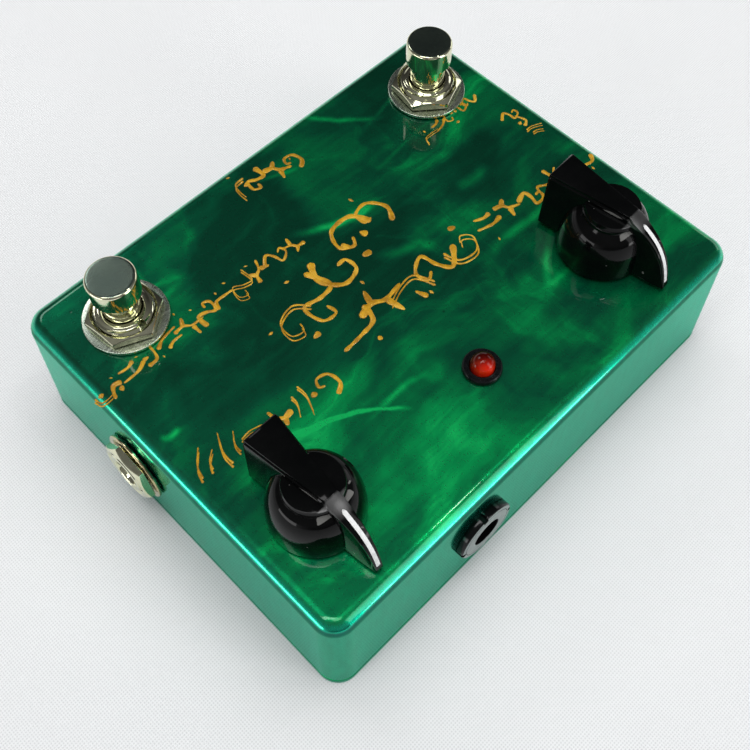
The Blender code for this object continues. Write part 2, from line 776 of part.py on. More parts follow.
def build_knob(side, x, y, turn, plastic, brass, steel):
    tag = "knob_" + side
    frame = upright(x, y, turn)
    screw_frame = set_screw_frame(x, y, turn)
    knob = turned(
        tag,
        [
            (0.0, KNOB_DISC_Z),
            (KNOB_DISC_R, KNOB_DISC_Z),
            (0.00578, 0.0448),
            (0.0059, 0.0436),
            (0.0066, 0.0424),
            (0.0075, 0.0404),
            (0.0083, 0.0385),
            (0.0089, 0.0366),
            (0.0093, 0.0349),
            (KNOB_R, 0.0335),
            (KNOB_R, KNOB_LOW),
            (0.0, KNOB_LOW),
        ],
        SEG_FINE,
    )
    place(knob, frame)
    fin = flat_outline(tag + "_fin", fin_side_profile(), 0.012)
    fin.data.transform(Matrix(((0, 0, 1, 0), (1, 0, 0, 0), (0, 1, 0, 0), (0, 0, 0, 1))))
    place(fin, frame)
    plan_low = KNOB_FIN_LOW - 0.002
    plan_high = KNOB_TOP + 0.002
    plan = flat_outline(tag + "_plan", fin_plan(), plan_high - plan_low)
    for vert in plan.data.vertices:
        if vert.co.z < 0.0:
            vert.co.x += math.copysign(0.0006, vert.co.x)
        vert.co.z += (plan_low + plan_high) / 2.0
    place(plan, frame)
    boolean(fin, plan, "INTERSECT")
    boolean(knob, fin, "UNION")
    recess = rod(tag + "_recess", KNOB_RECESS_R, KNOB_LOW - 0.002, KNOB_RECESS_TOP, SEG_MID)
    bore = rod(tag + "_bore", KNOB_BORE_R, KNOB_LOW - 0.002, KNOB_BORE_TOP, SEG_MID)
    place(recess, frame)
    place(bore, frame)
    boolean(knob, recess, "DIFFERENCE")
    boolean(knob, bore, "DIFFERENCE")
    screw_way = rod(tag + "_screw_way", SET_SCREW_HOLE_R, -0.0020, 0.0120, SEG_COARSE)
    place(screw_way, screw_frame)
    boolean(knob, screw_way, "DIFFERENCE")
    as_part(knob, tag, plastic)

    insert = ring(tag + "_insert", INSERT_BORE, INSERT_R, INSERT_LOW, INSERT_TOP, SEG_MID)
    place(insert, frame)
    tapped = rod(tag + "_tapped", SET_SCREW_HOLE_R, 0.0020, 0.0080, SEG_COARSE)
    place(tapped, screw_frame)
    boolean(insert, tapped, "DIFFERENCE")
    as_part(insert, tag + "_insert", brass)

    screw = rod(tag + "_set_screw", SET_SCREW_R, SET_SCREW_IN, SET_SCREW_OUT, SEG_COARSE)
    place(screw, screw_frame)
    slot = block(tag + "_screw_slot", 0.0030, 0.0005, 0.0010, (0.0, 0.0, SET_SCREW_OUT))
    place(slot, screw_frame)
    boolean(screw, slot, "DIFFERENCE")
    as_part(screw, tag + "_set_screw", steel)


# --- indicator lamp ---------------------------------------------------------------------
def build_lamp(lens_red, bezel_black):
    bezel_low = BOX_TOP + GAP
    bezel = turned(
        "led_bezel",
        [
            (BEZEL_R - 0.0006, bezel_low + BEZEL_FLANGE_T),
            (BEZEL_R, bezel_low + BEZEL_FLANGE_T - 0.0006),
            (BEZEL_R, bezel_low),
            (BEZEL_BODY_R, bezel_low),
            (BEZEL_BODY_R, BEZEL_LOW),
            (BEZEL_BORE, BEZEL_LOW),
            (BEZEL_BORE, bezel_low + BEZEL_FLANGE_T),
        ],
        SEG_MID,
        closed=True,
    )
    as_part(shift(bezel, LED_X, LED_Y), "led_bezel", bezel_black)
    dome = []
    for step in range(5):
        angle = math.radians(90.0 - 22.5 * step)
        dome.append((LENS_R * math.cos(angle), LENS_TOP - LENS_R + LENS_R * math.sin(angle)))
    dome[0] = (0.0, LENS_TOP)
    lens = turned(
        "led_lens",
        dome
        + [
            (LENS_R, BEZEL_LOW - GAP),
            (LENS_FLANGE_R, BEZEL_LOW - GAP),
            (LENS_FLANGE_R, LENS_LOW),
            (0.0, LENS_LOW),
        ],
        SEG_COARSE,
    )
    shift(lens, LED_X, LED_Y)
    for number, sign in enumerate((1.0, -1.0)):
        lead = rod("led_lead_%d" % number, LED_LEAD_R, LED_LEAD_LOW, LENS_LOW + GAP, 8)
        boolean(lens, shift(lead, LED_X + sign * LED_LEAD_PITCH, LED_Y), "UNION")
    as_part(lens, "led_lens", lens_red)


# --- DC inlet ---------------------------------------------------------------------------
def build_dc_inlet(plastic, nickel):
    frame = back_wall_frame()
    body = turned(
        "dc_jack_body",
        [
            (DC_THREAD_R, DC_FACE_OUT),
            (DC_THREAD_R, -DC_THREAD_IN),
            (DC_BORE_R, -DC_THREAD_IN),
            (DC_BORE_R, DC_FACE_OUT),
        ],
        SEG_MID,
        closed=True,
    )
    place(body, frame)
    middle = -(WALL + GAP + DC_BODY_IN) / 2.0
    depth = DC_BODY_IN - WALL - GAP
    case = block("dc_case", DC_BODY_W, DC_BODY_H, depth, (0.0, 0.0, middle))
    place(case, frame)
    bore = rod("dc_bore", DC_BORE_R, -DC_BORE_DEEP, 0.0100, SEG_MID)
    place(bore, frame)
    boolean(body, case, "UNION")
    boolean(body, bore, "DIFFERENCE")
    as_part(body, "dc_jack_body", plastic)

    nut = ring("dc_jack_nut", DC_HOLE_R, DC_NUT_R, GAP, DC_NUT_OUT, SEG_FINE, EDGE_BREAK)
    place(nut, frame)
    for number in range(4):
        angle = math.radians(DC_NOTCH_TURN + 90.0 * number)
        notch_x = DC_NUT_R - DC_SLOT_D + DC_NOTCH_L / 2.0
        notch = block("dc_notch_%d" % number, DC_NOTCH_L, DC_SLOT_W, 3.0 * DC_NUT_OUT, (notch_x, 0.0, 0.0))
        notch.data.transform(Matrix.Rotation(angle, 4, "Z"))
        place(notch, frame)
        boolean(nut, notch, "DIFFERENCE")
    as_part(nut, "dc_jack_nut", plastic)

    pin = rod("dc_jack_pin", DC_PIN_R, -DC_BORE_DEEP + GAP, DC_PIN_OUT, SEG_COARSE, PIN_BREAK)
    place(pin, frame)
    as_part(pin, "dc_jack_pin", nickel)


# --- quarter inch jacks -----------------------------------------------------------------
def build_jack(tag, sign, nut_turn, nickel, plastic, spring_steel):
    frame = side_wall_frame(sign)
    washer = ring(tag + "_washer", JACK_HOLE_R, JACK_WASHER_R, GAP, GAP + JACK_WASHER_T, SEG_FINE)
    place(washer, frame)
    as_part(washer, tag + "_washer", nickel)
    nut_low = 2.0 * GAP + JACK_WASHER_T
    nut_frame = frame @ Matrix.Rotation(math.radians(nut_turn), 4, "Z")
    nut = hex_nut(tag + "_nut", JACK_NUT_AF, JACK_HOLE_R, nut_low, nut_low + JACK_NUT_T, nut_frame)
    as_part(nut, tag + "_nut", nickel)

    inner = -WALL - 2.0 * GAP
    sleeve = ring(tag + "_sleeve", JACK_BORE_R, JACK_THREAD_R, inner, JACK_FACE_OUT, SEG_FINE, EDGE_BREAK)
    place(sleeve, frame)
    as_part(sleeve, tag + "_sleeve", nickel)

    top = inner - GAP
    body_mid = (top - JACK_BODY_IN) / 2.0
    body = block(tag + "_body", JACK_BODY_H, JACK_BODY_W, JACK_BODY_IN + top, (0.0, 0.0, body_mid))
    place(body, frame)
    bore = rod(tag + "_bore", JACK_BORE_R, -JACK_BORE_DEEP, 0.01, SEG_MID)
    place(bore, frame)
    boolean(body, bore, "DIFFERENCE")
    pocket_x = -sign * (JACK_BORE_R + 0.0010)
    pocket = block(tag + "_pocket", 0.0026, TIP_W + 3.0 * GAP, 0.0150, (pocket_x, 0.0, -0.0200))
    place(pocket, frame)
    boolean(body, pocket, "DIFFERENCE")
    for number, offset in enumerate((-0.0045, 0.0045)):
        centre = (sign * (JACK_BODY_H / 2.0 + JACK_TERM / 2.0 - GAP), offset, -0.0150)
        term = block(tag + "_term_%d" % number, JACK_TERM, 0.0018, 0.0006, centre)
        place(term, frame)
        boolean(body, term, "UNION")
    as_part(body, tag + "_body", plastic)

    leaf_x = -sign * (JACK_BORE_R + 0.0018)
    leaf = block(tag + "_tip_contact", TIP_T, TIP_W, 0.0130, (leaf_x, 0.0, -0.0200))
    nose_x = -sign * (JACK_BORE_R + 0.0009)
    nose = block(tag + "_nose", 0.0016, TIP_W, 0.0016, (nose_x, 0.0, -TIP_X_IN))
    place(leaf, frame)
    place(nose, frame)
    boolean(leaf, nose, "UNION")
    as_part(leaf, tag + "_tip_contact", spring_steel)


# --- circuit board ----------------------------------------------------------------------
def build_board(laminate, nylon, chip_black, can_blue, shroud_grey):
    board = block("circuit_board", BOARD_L, BOARD_W, BOARD_T, (0.0, 0.0, BOARD_LOW + BOARD_T / 2.0))
    shift(board, BOARD_X, BOARD_Y)
    for number, (side_x, side_y) in enumerate(corners()):
        hole = rod("board_hole_%d" % number, POST_HOLE_R, BOARD_LOW - 0.001, BOARD_TOP + 0.001, SEG_COARSE)
        shift(hole, BOARD_X + side_x * POST_X, BOARD_Y + side_y * POST_Y)
        boolean(board, hole, "DIFFERENCE")
        name = "board_post_%d" % (number + 1)
        post = turned(
            name,
            [
                (0.0, POST_PIN_TOP),
                (POST_PIN_R * 0.7, POST_PIN_TOP),
                (POST_PIN_R, POST_PIN_TOP - 0.0005),
                (POST_PIN_R, BOARD_LOW - GAP),
                (POST_R, BOARD_LOW - GAP),
                (POST_R, COVER_T + GAP + POST_BASE_T),
                (POST_BASE_R, COVER_T + GAP + POST_BASE_T),
                (POST_BASE_R, COVER_T + GAP),
                (0.0, COVER_T + GAP),
            ],
            SEG_COARSE,
        )
        shift(post, BOARD_X + side_x * POST_X, BOARD_Y + side_y * POST_Y)
        as_part(post, name, nylon)
    as_part(board, "circuit_board", laminate)

    low = BOARD_TOP + GAP
    chip = block("audio_chip", CHIP_L, CHIP_W, CHIP_T, (0.0, 0.0, low + 0.0005 + CHIP_T / 2.0))
    shift(chip, BOARD_X + CHIP_SPOT[0], BOARD_Y + CHIP_SPOT[1])
    for leg in range(4):
        for sign in (1.0, -1.0):
            spot = (-0.0036 + 0.0024 * leg, sign * (CHIP_W / 2.0 + 0.0002), low + 0.0010)
            pin = block("chip_leg_%d_%d" % (leg, int(sign + 1.0)), 0.0008, 0.0010, 0.0020, spot)
            boolean(chip, shift(pin, BOARD_X + CHIP_SPOT[0], BOARD_Y + CHIP_SPOT[1]), "UNION")
    as_part(chip, "audio_chip", chip_black)

    for tag, cap_x, cap_y, radius, height in CAP_SPOTS:
        can = turned(
            "capacitor_" + tag,
            [
                (0.0, low + height),
                (radius - 0.0004, low + height),
                (radius, low + height - 0.0004),
                (radius, low + 0.0016),
                (radius - 0.0003, low + 0.0012),
                (radius, low + 0.0008),
                (radius, low),
                (0.0, low),
            ],
            SEG_COARSE,
        )
        shift(can, BOARD_X + cap_x, BOARD_Y + cap_y)
        as_part(can, "capacitor_" + tag, can_blue)

    shroud = rod("lamp_shroud", SHROUD_R, low, low + SHROUD_H, SEG_MID, 0.0005)
    shift(shroud, BOARD_X + SHROUD_SPOT[0], BOARD_Y + SHROUD_SPOT[1])
    as_part(shroud, "lamp_shroud", shroud_grey)


def main():
    clear_scene()
    paint = material("green_candy_paint", (0.0, 0.22, 0.11), 0.3, 0.2)
    nickel = material("bright_nickel", (0.80, 0.77, 0.70), 1.0, 0.2)
    steel = material("zinc_steel", (0.62, 0.62, 0.63), 1.0, 0.35)
    spring_steel = material("spring_steel", (0.55, 0.55, 0.57), 1.0, 0.3)
    knob_black = material("knob_black", (0.012, 0.012, 0.013), 0.0, 0.15)
    brass = material("insert_brass", (0.72, 0.53, 0.24), 1.0, 0.3)
    switch_plastic = material("switch_plastic", (0.03, 0.05, 0.12), 0.0, 0.45)
    jack_black = material("jack_black", (0.015, 0.015, 0.016), 0.0, 0.3)
    lens_red = material("lens_red", (0.55, 0.01, 0.01), 0.0, 0.1)
    bezel_black = material("bezel_black", (0.02, 0.02, 0.02), 0.0, 0.3)
    laminate = material("board_laminate", (0.02, 0.13, 0.06), 0.0, 0.45)
    nylon = material("post_nylon", (0.75, 0.74, 0.68), 0.0, 0.5)
    chip_black = material("chip_black", (0.02, 0.02, 0.02), 0.0, 0.6)
    can_blue = material("can_sleeve", (0.01, 0.03, 0.12), 0.0, 0.4)
    shroud_grey = material("shroud_metal", (0.6, 0.6, 0.6), 1.0, 0.35)

    build_enclosure(paint)
    build_cover(paint)
    build_cover_screws(steel)
    for side, x, nut_turn, key_turn in SWITCHES:
        build_footswitch(side, x, nut_turn, key_turn, nickel, switch_plastic, spring_steel)
    for side, x, y, turn in POTS:
        build_pot(side, x, y, nickel, steel)
        build_knob(side, x, y, turn, knob_black, brass, steel)
    build_lamp(lens_red, bezel_black)
    build_dc_inlet(jack_black, nickel)
    build_jack("input_jack", 1.0, 18.0, nickel, jack_black, spring_steel)
    build_jack("output_jack", -1.0, 0.0, nickel, jack_black, spring_steel)
    build_board(laminate, nylon, chip_black, can_blue, shroud_grey)


main()
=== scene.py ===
import random
from math import atan2, cos, dist, exp, hypot, pi, radians, sin, sqrt, tan

import bmesh
import bpy
from mathutils import Matrix, Vector


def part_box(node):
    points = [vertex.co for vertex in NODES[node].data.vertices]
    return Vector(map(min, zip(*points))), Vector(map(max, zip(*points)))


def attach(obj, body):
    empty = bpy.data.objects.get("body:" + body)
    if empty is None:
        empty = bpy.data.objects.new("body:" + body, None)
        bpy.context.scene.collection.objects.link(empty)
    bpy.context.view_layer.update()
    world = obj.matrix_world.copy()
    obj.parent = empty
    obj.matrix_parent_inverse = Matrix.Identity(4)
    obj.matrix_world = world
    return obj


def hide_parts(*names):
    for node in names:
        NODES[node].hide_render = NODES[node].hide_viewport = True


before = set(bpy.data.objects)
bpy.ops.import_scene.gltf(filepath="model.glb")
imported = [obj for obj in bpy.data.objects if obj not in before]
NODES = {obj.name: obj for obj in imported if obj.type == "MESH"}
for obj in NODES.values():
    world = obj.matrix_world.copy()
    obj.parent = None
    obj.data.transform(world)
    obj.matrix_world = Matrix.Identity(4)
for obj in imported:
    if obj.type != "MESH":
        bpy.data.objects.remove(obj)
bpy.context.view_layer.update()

# Looks of the two-footswitch effect pedal, in the frame of the CAD: +X the player's right, +Y the
# back, +Z up. Sizes of the object are in millimetres, and solid() turns them into metres.
MM = 0.001
GAP = 0.3
WELD = 0.0005

# --- die-cast box ---
BOX_LENGTH = 119.5
BOX_DEPTH = 94.0
BOX_TOP = 32.0
DRAFT_DEGREES = 2.875
DRAFT = radians(DRAFT_DEGREES)
SLOPE = tan(DRAFT)
CORNER_R = 4.8
TOP_R = 2.9
WALL = 2.3
PANEL_UNDER = 29.7
SHELL_FOOT = 1.9
FOOT_BREAK = 0.25
COVER_T = 1.6
LIP_TOP = 4.0
LIP_T = 1.4
SCREW_PITCH = 0.8
SCREW_DEPTH = 0.35
BOSS_X = 54.0
BOSS_Y = 41.3
BOSS_R = 3.6
PILOT_R = 1.9
PILOT_TOP = 15.0
CORNER_STEPS = 16
FILLET_STEPS = 12
CORNERS = ((1, 1), (1, -1), (-1, -1), (-1, 1))
CUT_LOW = 25.0
CUT_HIGH = 36.0
POT_HOLE_R = 5.0
LAMP_HOLE_R = 3.5
JACK_HOLE_R = 5.1
INLET_HOLE_R = 6.0

# --- segments of turned pieces, and the least angles of edges that stay sharp ---
FINE = 120
MID = 72
COARSE = 48
SHARP = radians(34.0)
CAST_SHARP = radians(28.0)
ROUNDED_SHARP = radians(40.0)

# --- footswitches ---
# Side, turn of the nut and of the bushing's keyway in degrees.
SWITCHES = (("right", 35.8, 95.0), ("left", 20.5, 200.0))
SWITCH_HOLE_R = 6.2
WASHER_R = 8.75
NUT_AF = 13.9
BUSH_R = 5.85
BUSH_BORE = 4.06
THREAD_PITCH = 0.34
THREAD_DEPTH = 0.20
KEY_W = 1.6
KEY_DEPTH = 0.9
CAP_R = 5.0
STEM_R = 3.9

# --- knobs ---
# Side and turn in degrees.
KNOBS = (("right", 0.0), ("left", 2.3))
DOME = (
    (5.9, 43.6), (7.0, 42.75), (8.0, 41.2), (8.7, 39.1),
    (9.1, 36.8), (9.26, 34.9), (9.3, 33.5), (9.3, 32.6),
)
FIN_TOP = 47.0
FIN_LOW = 33.0
FIN_TAIL = -13.1
FIN_BULGE = 1.0
FIN_TAIL_HALF = 4.0
FIN_BREAK_Y = 4.4
FIN_BREAK_HALF = 1.8
FIN_TIP = 16.1
FIN_TIP_HALF = 0.8
FIN_FLARE = 0.5
FIN_LEDGE = 0.32
FIN_LEDGE_DROP = 0.9
SLOPE_SIDE = (
    (4.4, 47.0), (4.9, 46.78), (7.2, 45.62), (9.8, 44.15),
    (12.0, 42.3), (13.8, 39.8), (15.1, 36.8), (16.1, 33.6),
)
LINE_START = 7.1
LINE_END = 15.75
LINE_HALF = 0.43
LINE_PROUD = 0.06

# --- lamp, inlet and jacks ---
LAMP_FLANGE = 32.3
BEZEL_R = 4.0
LENS_R = 2.5
INLET_OUT = 1.7
JACK_WASHER_R = 7.85
JACK_WASHER_T = 0.7
JACK_NUT_AF = 12.5
JACK_NUT_T = 1.8
JACK_SLEEVE_R = 4.7
JACK_FACE = 3.2
JACK_PITCH = 0.7
JACK_THREAD_DEPTH = 0.25

# Roughness of the paint on the box's edges and walls.
EDGE_ROUGHNESS = 0.13

# --- lights: bearing from +X and height in degrees, distance, size (m), power (W) ---
LIGHTS = (
    ("back_softbox_left", 268.0, 44.0, 1.10, (0.30, 0.26), 0.9),
    ("back_softbox_right", 176.0, 20.0, 1.10, (0.46, 0.26), 0.6),
    ("side_strip", 108.0, 27.0, 1.10, (0.42, 1.05), 2.6),
    ("side_strip_low", 108.0, 4.0, 1.05, (0.42, 0.13), 0.9),
    ("front_low", 352.0, 6.0, 1.10, (0.80, 0.24), 2.3),
    ("overhead_key", 350.0, 74.0, 1.10, (0.16, 0.64), 1.8),
    ("overhead_high", 59.0, 78.0, 1.10, (0.28, 0.26), 0.6),
    ("overhead_spot", 144.0, 70.0, 1.00, (0.06, 0.06), 0.28),
)
# Direction of the dark side of the room, behind the camera.
DARK_SIDE = (0.276, 0.961, 0.0)
# Wide ceiling light for the diffuse surfaces alone: place and size (m), power (W).
CEILING = ((-0.25, -0.12, 1.25), (1.3, 1.3), 12.2)
FLOOR_HALF = 1.6

# --- camera ---
CAMERA_AT = Vector((0.08009, 0.075777, 0.19921))
CAMERA_TURN = (0.369709, 0.095361, 0.221925, 0.897201)
CAMERA_LENS = 46.91
CAMERA_SENSOR = 36.0


# --- node trees ---
class Nodes:
    """A node tree with short calls to build it."""

    def __init__(self, tree):
        self.tree = tree

    def node(self, kind, inputs=(), **settings):
        """New node with its settings, and its inputs linked or set by socket name or number."""
        made = self.tree.nodes.new("ShaderNode" + kind)
        for key, value in settings.items():
            setattr(made, key, value)
        for socket, value in dict(inputs).items():
            self.feed(made.inputs[socket], value)
        return made

    def feed(self, socket, value):
        """Link an output, or set a plain value."""
        if isinstance(value, bpy.types.NodeSocket):
            self.tree.links.new(value, socket)
        elif socket.type == "RGBA":
            socket.default_value = (value[0], value[1], value[2], 1.0)
        else:
            socket.default_value = value

    def ramp(self, fac, *stops):
        node = self.node("ValToRGB", {"Fac": fac})
        band = node.color_ramp
        while len(band.elements) < len(stops):
            band.elements.new(0.5)
        for element, (place, shade) in zip(band.elements, stops):
            element.position = place
            if not isinstance(shade, tuple):
                shade = (shade, shade, shade)
            element.color = (shade[0], shade[1], shade[2], 1.0)
        return node.outputs["Color"]

    def math(self, kind, a, b=0.0):
        return self.node("Math", {0: a, 1: b}, operation=kind).outputs[0]

    def plus(self, a, b):
        return self.math("ADD", a, b)

    def times(self, a, b):
        return self.math("MULTIPLY", a, b)

    def vectors(self, kind, a, b=(0.0, 0.0, 0.0)):
        """Vector maths: a number for a length or a dot product, otherwise a vector."""
        made = self.node("VectorMath", {0: a, 1: b}, operation=kind)
        return made.outputs["Value" if kind in ("LENGTH", "DOT_PRODUCT") else "Vector"]

    def parts(self, vector):
        return self.node("SeparateXYZ", {0: vector}).outputs

    def span(self, value, low, high, to_low=0.0, to_high=1.0, curve="SMOOTHSTEP"):
        inputs = {"Value": value, "From Min": low, "From Max": high, "To Min": to_low, "To Max": to_high}
        return self.node("MapRange", inputs, interpolation_type=curve).outputs["Result"]

    def mix(self, fac, a, b):
        """Colour from a to b; the colour sockets of a Mix node are numbers 6 and 7, its output 2."""
        return self.node("Mix", {0: fac, 6: a, 7: b}, data_type="RGBA").outputs[2]


class Look(Nodes):
    """A material on the Principled shader, patterned in the object's own space."""

    def __init__(self, name, metallic=0.0):
        self.mat = bpy.data.materials.new(name)
        self.mat.use_nodes = True
        super().__init__(self.mat.node_tree)
        self.shader = self.tree.nodes["Principled BSDF"]
        self.set("Metallic", metallic)
        self.where = self.node("TexCoord").outputs["Object"]

    def set(self, name, value):
        self.feed(self.shader.inputs[name], value)

    def mapped(self, scale=(1, 1, 1), turn=0.0, vector=None):
        """Pattern space stretched, and turned about Z by degrees."""
        inputs = {"Vector": vector or self.where, "Scale": scale, "Rotation": (0, 0, radians(turn))}
        return self.node("Mapping", inputs).outputs["Vector"]

    def noise(self, scale, detail=4.0, rough=0.55, warp=0.0, vector=None, output="Fac"):
        inputs = {"Vector": vector or self.where, "Scale": scale, "Detail": detail}
        inputs.update({"Roughness": rough, "Distortion": warp})
        return self.node("TexNoise", inputs).outputs[output]

    def cells(self, scale, vector=None, feature="F1", output="Distance"):
        inputs = {"Vector": vector or self.where, "Scale": scale}
        return self.node("TexVoronoi", inputs, feature=feature).outputs[output]

    def weave(self, scale, warp=0.0):
        """Product of two crossing waves."""
        inputs = {"Vector": self.where, "Scale": scale, "Distortion": warp}
        waves = [self.node("TexWave", inputs, bands_direction=way).outputs["Fac"] for way in "XY"]
        return self.times(*waves)

    def specks(self, scale, channel, least, inner, outer):
        """Small round specks in the few cells whose own random tone is over a limit."""
        tones = self.node("SeparateColor", {0: self.cells(scale, output="Color")}).outputs
        chosen = self.math("GREATER_THAN", tones[channel], least)
        return self.times(chosen, self.span(self.cells(scale), inner, outer, 1.0, 0.0))

    def hairs(self, scale, detail, thin, turns, limits):
        """Two crossing sets of hairline scratches."""
        sets = []
        for stretch, turn, (low, high) in zip(((1.0, thin, 1.0), (thin, 1.0, 1.0)), turns, limits):
            sets.append(self.span(self.noise(scale, detail, vector=self.mapped(stretch, turn)), low, high))
        return self.math("MAXIMUM", *sets)

    def offset(self, vector, shift, amount):
        """Vector moved by a colour about its middle grey, for a warped pattern."""
        centred = self.vectors("SUBTRACT", shift, (0.5, 0.5, 0.5))
        scaled = self.node("VectorMath", {0: centred, "Scale": amount}, operation="SCALE")
        return self.vectors("ADD", vector, scaled.outputs[0])

    def bump(self, height, depth, strength, into="Normal"):
        """Relief with its depth in millimetres."""
        inputs = {"Strength": strength, "Distance": depth * MM, "Height": height}
        self.set(into, self.node("Bump", inputs).outputs["Normal"])

    def done(self, color, rough, relief, **others):
        """Sets the shader's colour, roughness, (height, depth, strength) and other named inputs."""
        self.set("Base Color", color)
        self.set("Roughness", rough)
        self.bump(*relief)
        for name, value in others.items():
            self.set(name.replace("_", " ").title().replace("Ior", "IOR"), value)
        return self.mat


# Brush sweeps that show through the candy coat: centre and radius of each arc, half width,
# from and to bearing in degrees, strength. Millimetres on the top panel.
SWEEPS = (
    (-48.0, -62.0, 34.5, 1.3, 28.0, 62.0, 0.75),
    (-40.0, -66.0, 20.0, 1.0, 52.0, 104.0, 0.45),
    (-12.0, -62.0, 28.5, 1.0, 58.0, 84.0, 0.50),
    (-14.0, -52.0, 36.0, 1.7, 55.0, 92.0, 0.95),
    (10.0, 26.0, 34.0, 2.6, 222.0, 250.0, 0.60),
    (-33.0, -14.0, 8.5, 2.4, 50.0, 125.0, 0.70),
    (44.5, 45.7, 34.4, 0.8, 216.0, 262.0, 1.20),
    (52.0, -7.0, 3.6, 1.3, 30.0, 130.0, 0.80),
    (-50.0, 40.0, 76.0, 0.9, 262.0, 292.0, 0.40),
    (-36.0, 42.0, 66.0, 0.8, 258.0, 286.0, 0.35),
    (18.0, 46.0, 26.0, 1.2, 248.0, 288.0, 0.45),
    (-30.0, 62.0, 52.0, 2.0, 255.0, 286.0, 0.55),
    (-58.0, 60.0, 50.0, 1.4, 282.0, 318.0, 0.45),
    (-24.0, 70.0, 46.0, 1.6, 238.0, 276.0, 0.45),
    (40.0, -58.0, 30.0, 1.4, 70.0, 116.0, 0.35),
    (26.0, -52.0, 22.0, 1.1, 40.0, 92.0, 0.30),
)


def sweep(look, place, arc):
    """Brightness of one brush sweep: an arc that fades across its width and toward both ends."""
    cx, cy, radius, half, start, stop, level = arc
    middle_turn = radians((start + stop) / 2.0)
    spread = radians((stop - start) / 2.0)
    moved = look.vectors("SUBTRACT", place, (cx * MM, cy * MM, 0.0))
    flat = look.vectors("MULTIPLY", moved, (1.0, 1.0, 0.0))
    reach = look.vectors("LENGTH", flat)
    off = look.math("ABSOLUTE", look.math("SUBTRACT", reach, radius * MM))
    across = look.span(off, 0.0, half * MM, 1.0, 0.0)
    toward = look.vectors("DOT_PRODUCT", flat, (cos(middle_turn), sin(middle_turn), 0.0))
    ends = look.span(look.math("DIVIDE", toward, reach), cos(spread), cos(spread * 0.35))
    return look.times(look.times(across, ends), level)


def brushed_base(look):
    """Brightness of the brushed base: clouds, drawn streaks, sweeps, hairlines, and slow gradients of
    painted reflection toward the back and the near corner.
    """
    warp = look.noise(26.0, 3.0, 0.5, output="Color")
    bent = look.offset(look.where, warp, 0.045)
    clouds = look.noise(48.0, 3.5, 0.52, vector=look.mapped((0.8, 1.25, 1.0), 20, bent))
    drawn = look.noise(40.0, 6.0, 0.66, vector=look.mapped((0.30, 2.6, 1.0), -24, bent))
    cross = look.noise(36.0, 6.0, 0.66, vector=look.mapped((2.4, 0.34, 1.0), 20, bent))
    streaks = look.plus(look.span(drawn, 0.50, 0.74, 0.0, 0.30), look.span(cross, 0.52, 0.74, 0.0, 0.30))
    level = look.plus(look.span(clouds, 0.30, 0.74, 0.0, 0.58), streaks)
    feather = look.noise(210.0, 3.0, 0.6, output="Color")
    place = look.offset(look.offset(look.where, warp, 0.005), feather, 0.0011)
    light = sweep(look, place, SWEEPS[0])
    for arc in SWEEPS[1:]:
        light = look.math("MAXIMUM", light, sweep(look, place, arc))
    broken = look.span(look.noise(140.0, 4.0, 0.6), 0.25, 0.60, 0.60, 1.0)
    level = look.plus(level, look.times(look.times(light, broken), 0.70))
    # Slow gradients lighter toward the back (+Y) and the +X, +Y corner: painted reflection of the lights.
    x, y, _ = look.parts(look.where)
    back = look.span(y, -0.035, 0.045, -0.09, 0.22)
    near = look.times(look.span(x, -0.01, 0.055, 0.0, 0.13), look.span(y, -0.02, 0.03))
    level = look.plus(level, look.plus(back, near))
    level = look.plus(level, look.span(look.noise(2600.0, 2.0, 0.7), 0.3, 0.7, -0.008, 0.008))
    hairline = look.noise(210.0, 5.0, 0.6, vector=look.mapped((0.12, 2.2, 1.0), -24, place))
    return look.plus(level, look.span(hairline, 0.3, 0.7, -0.07, 0.07))


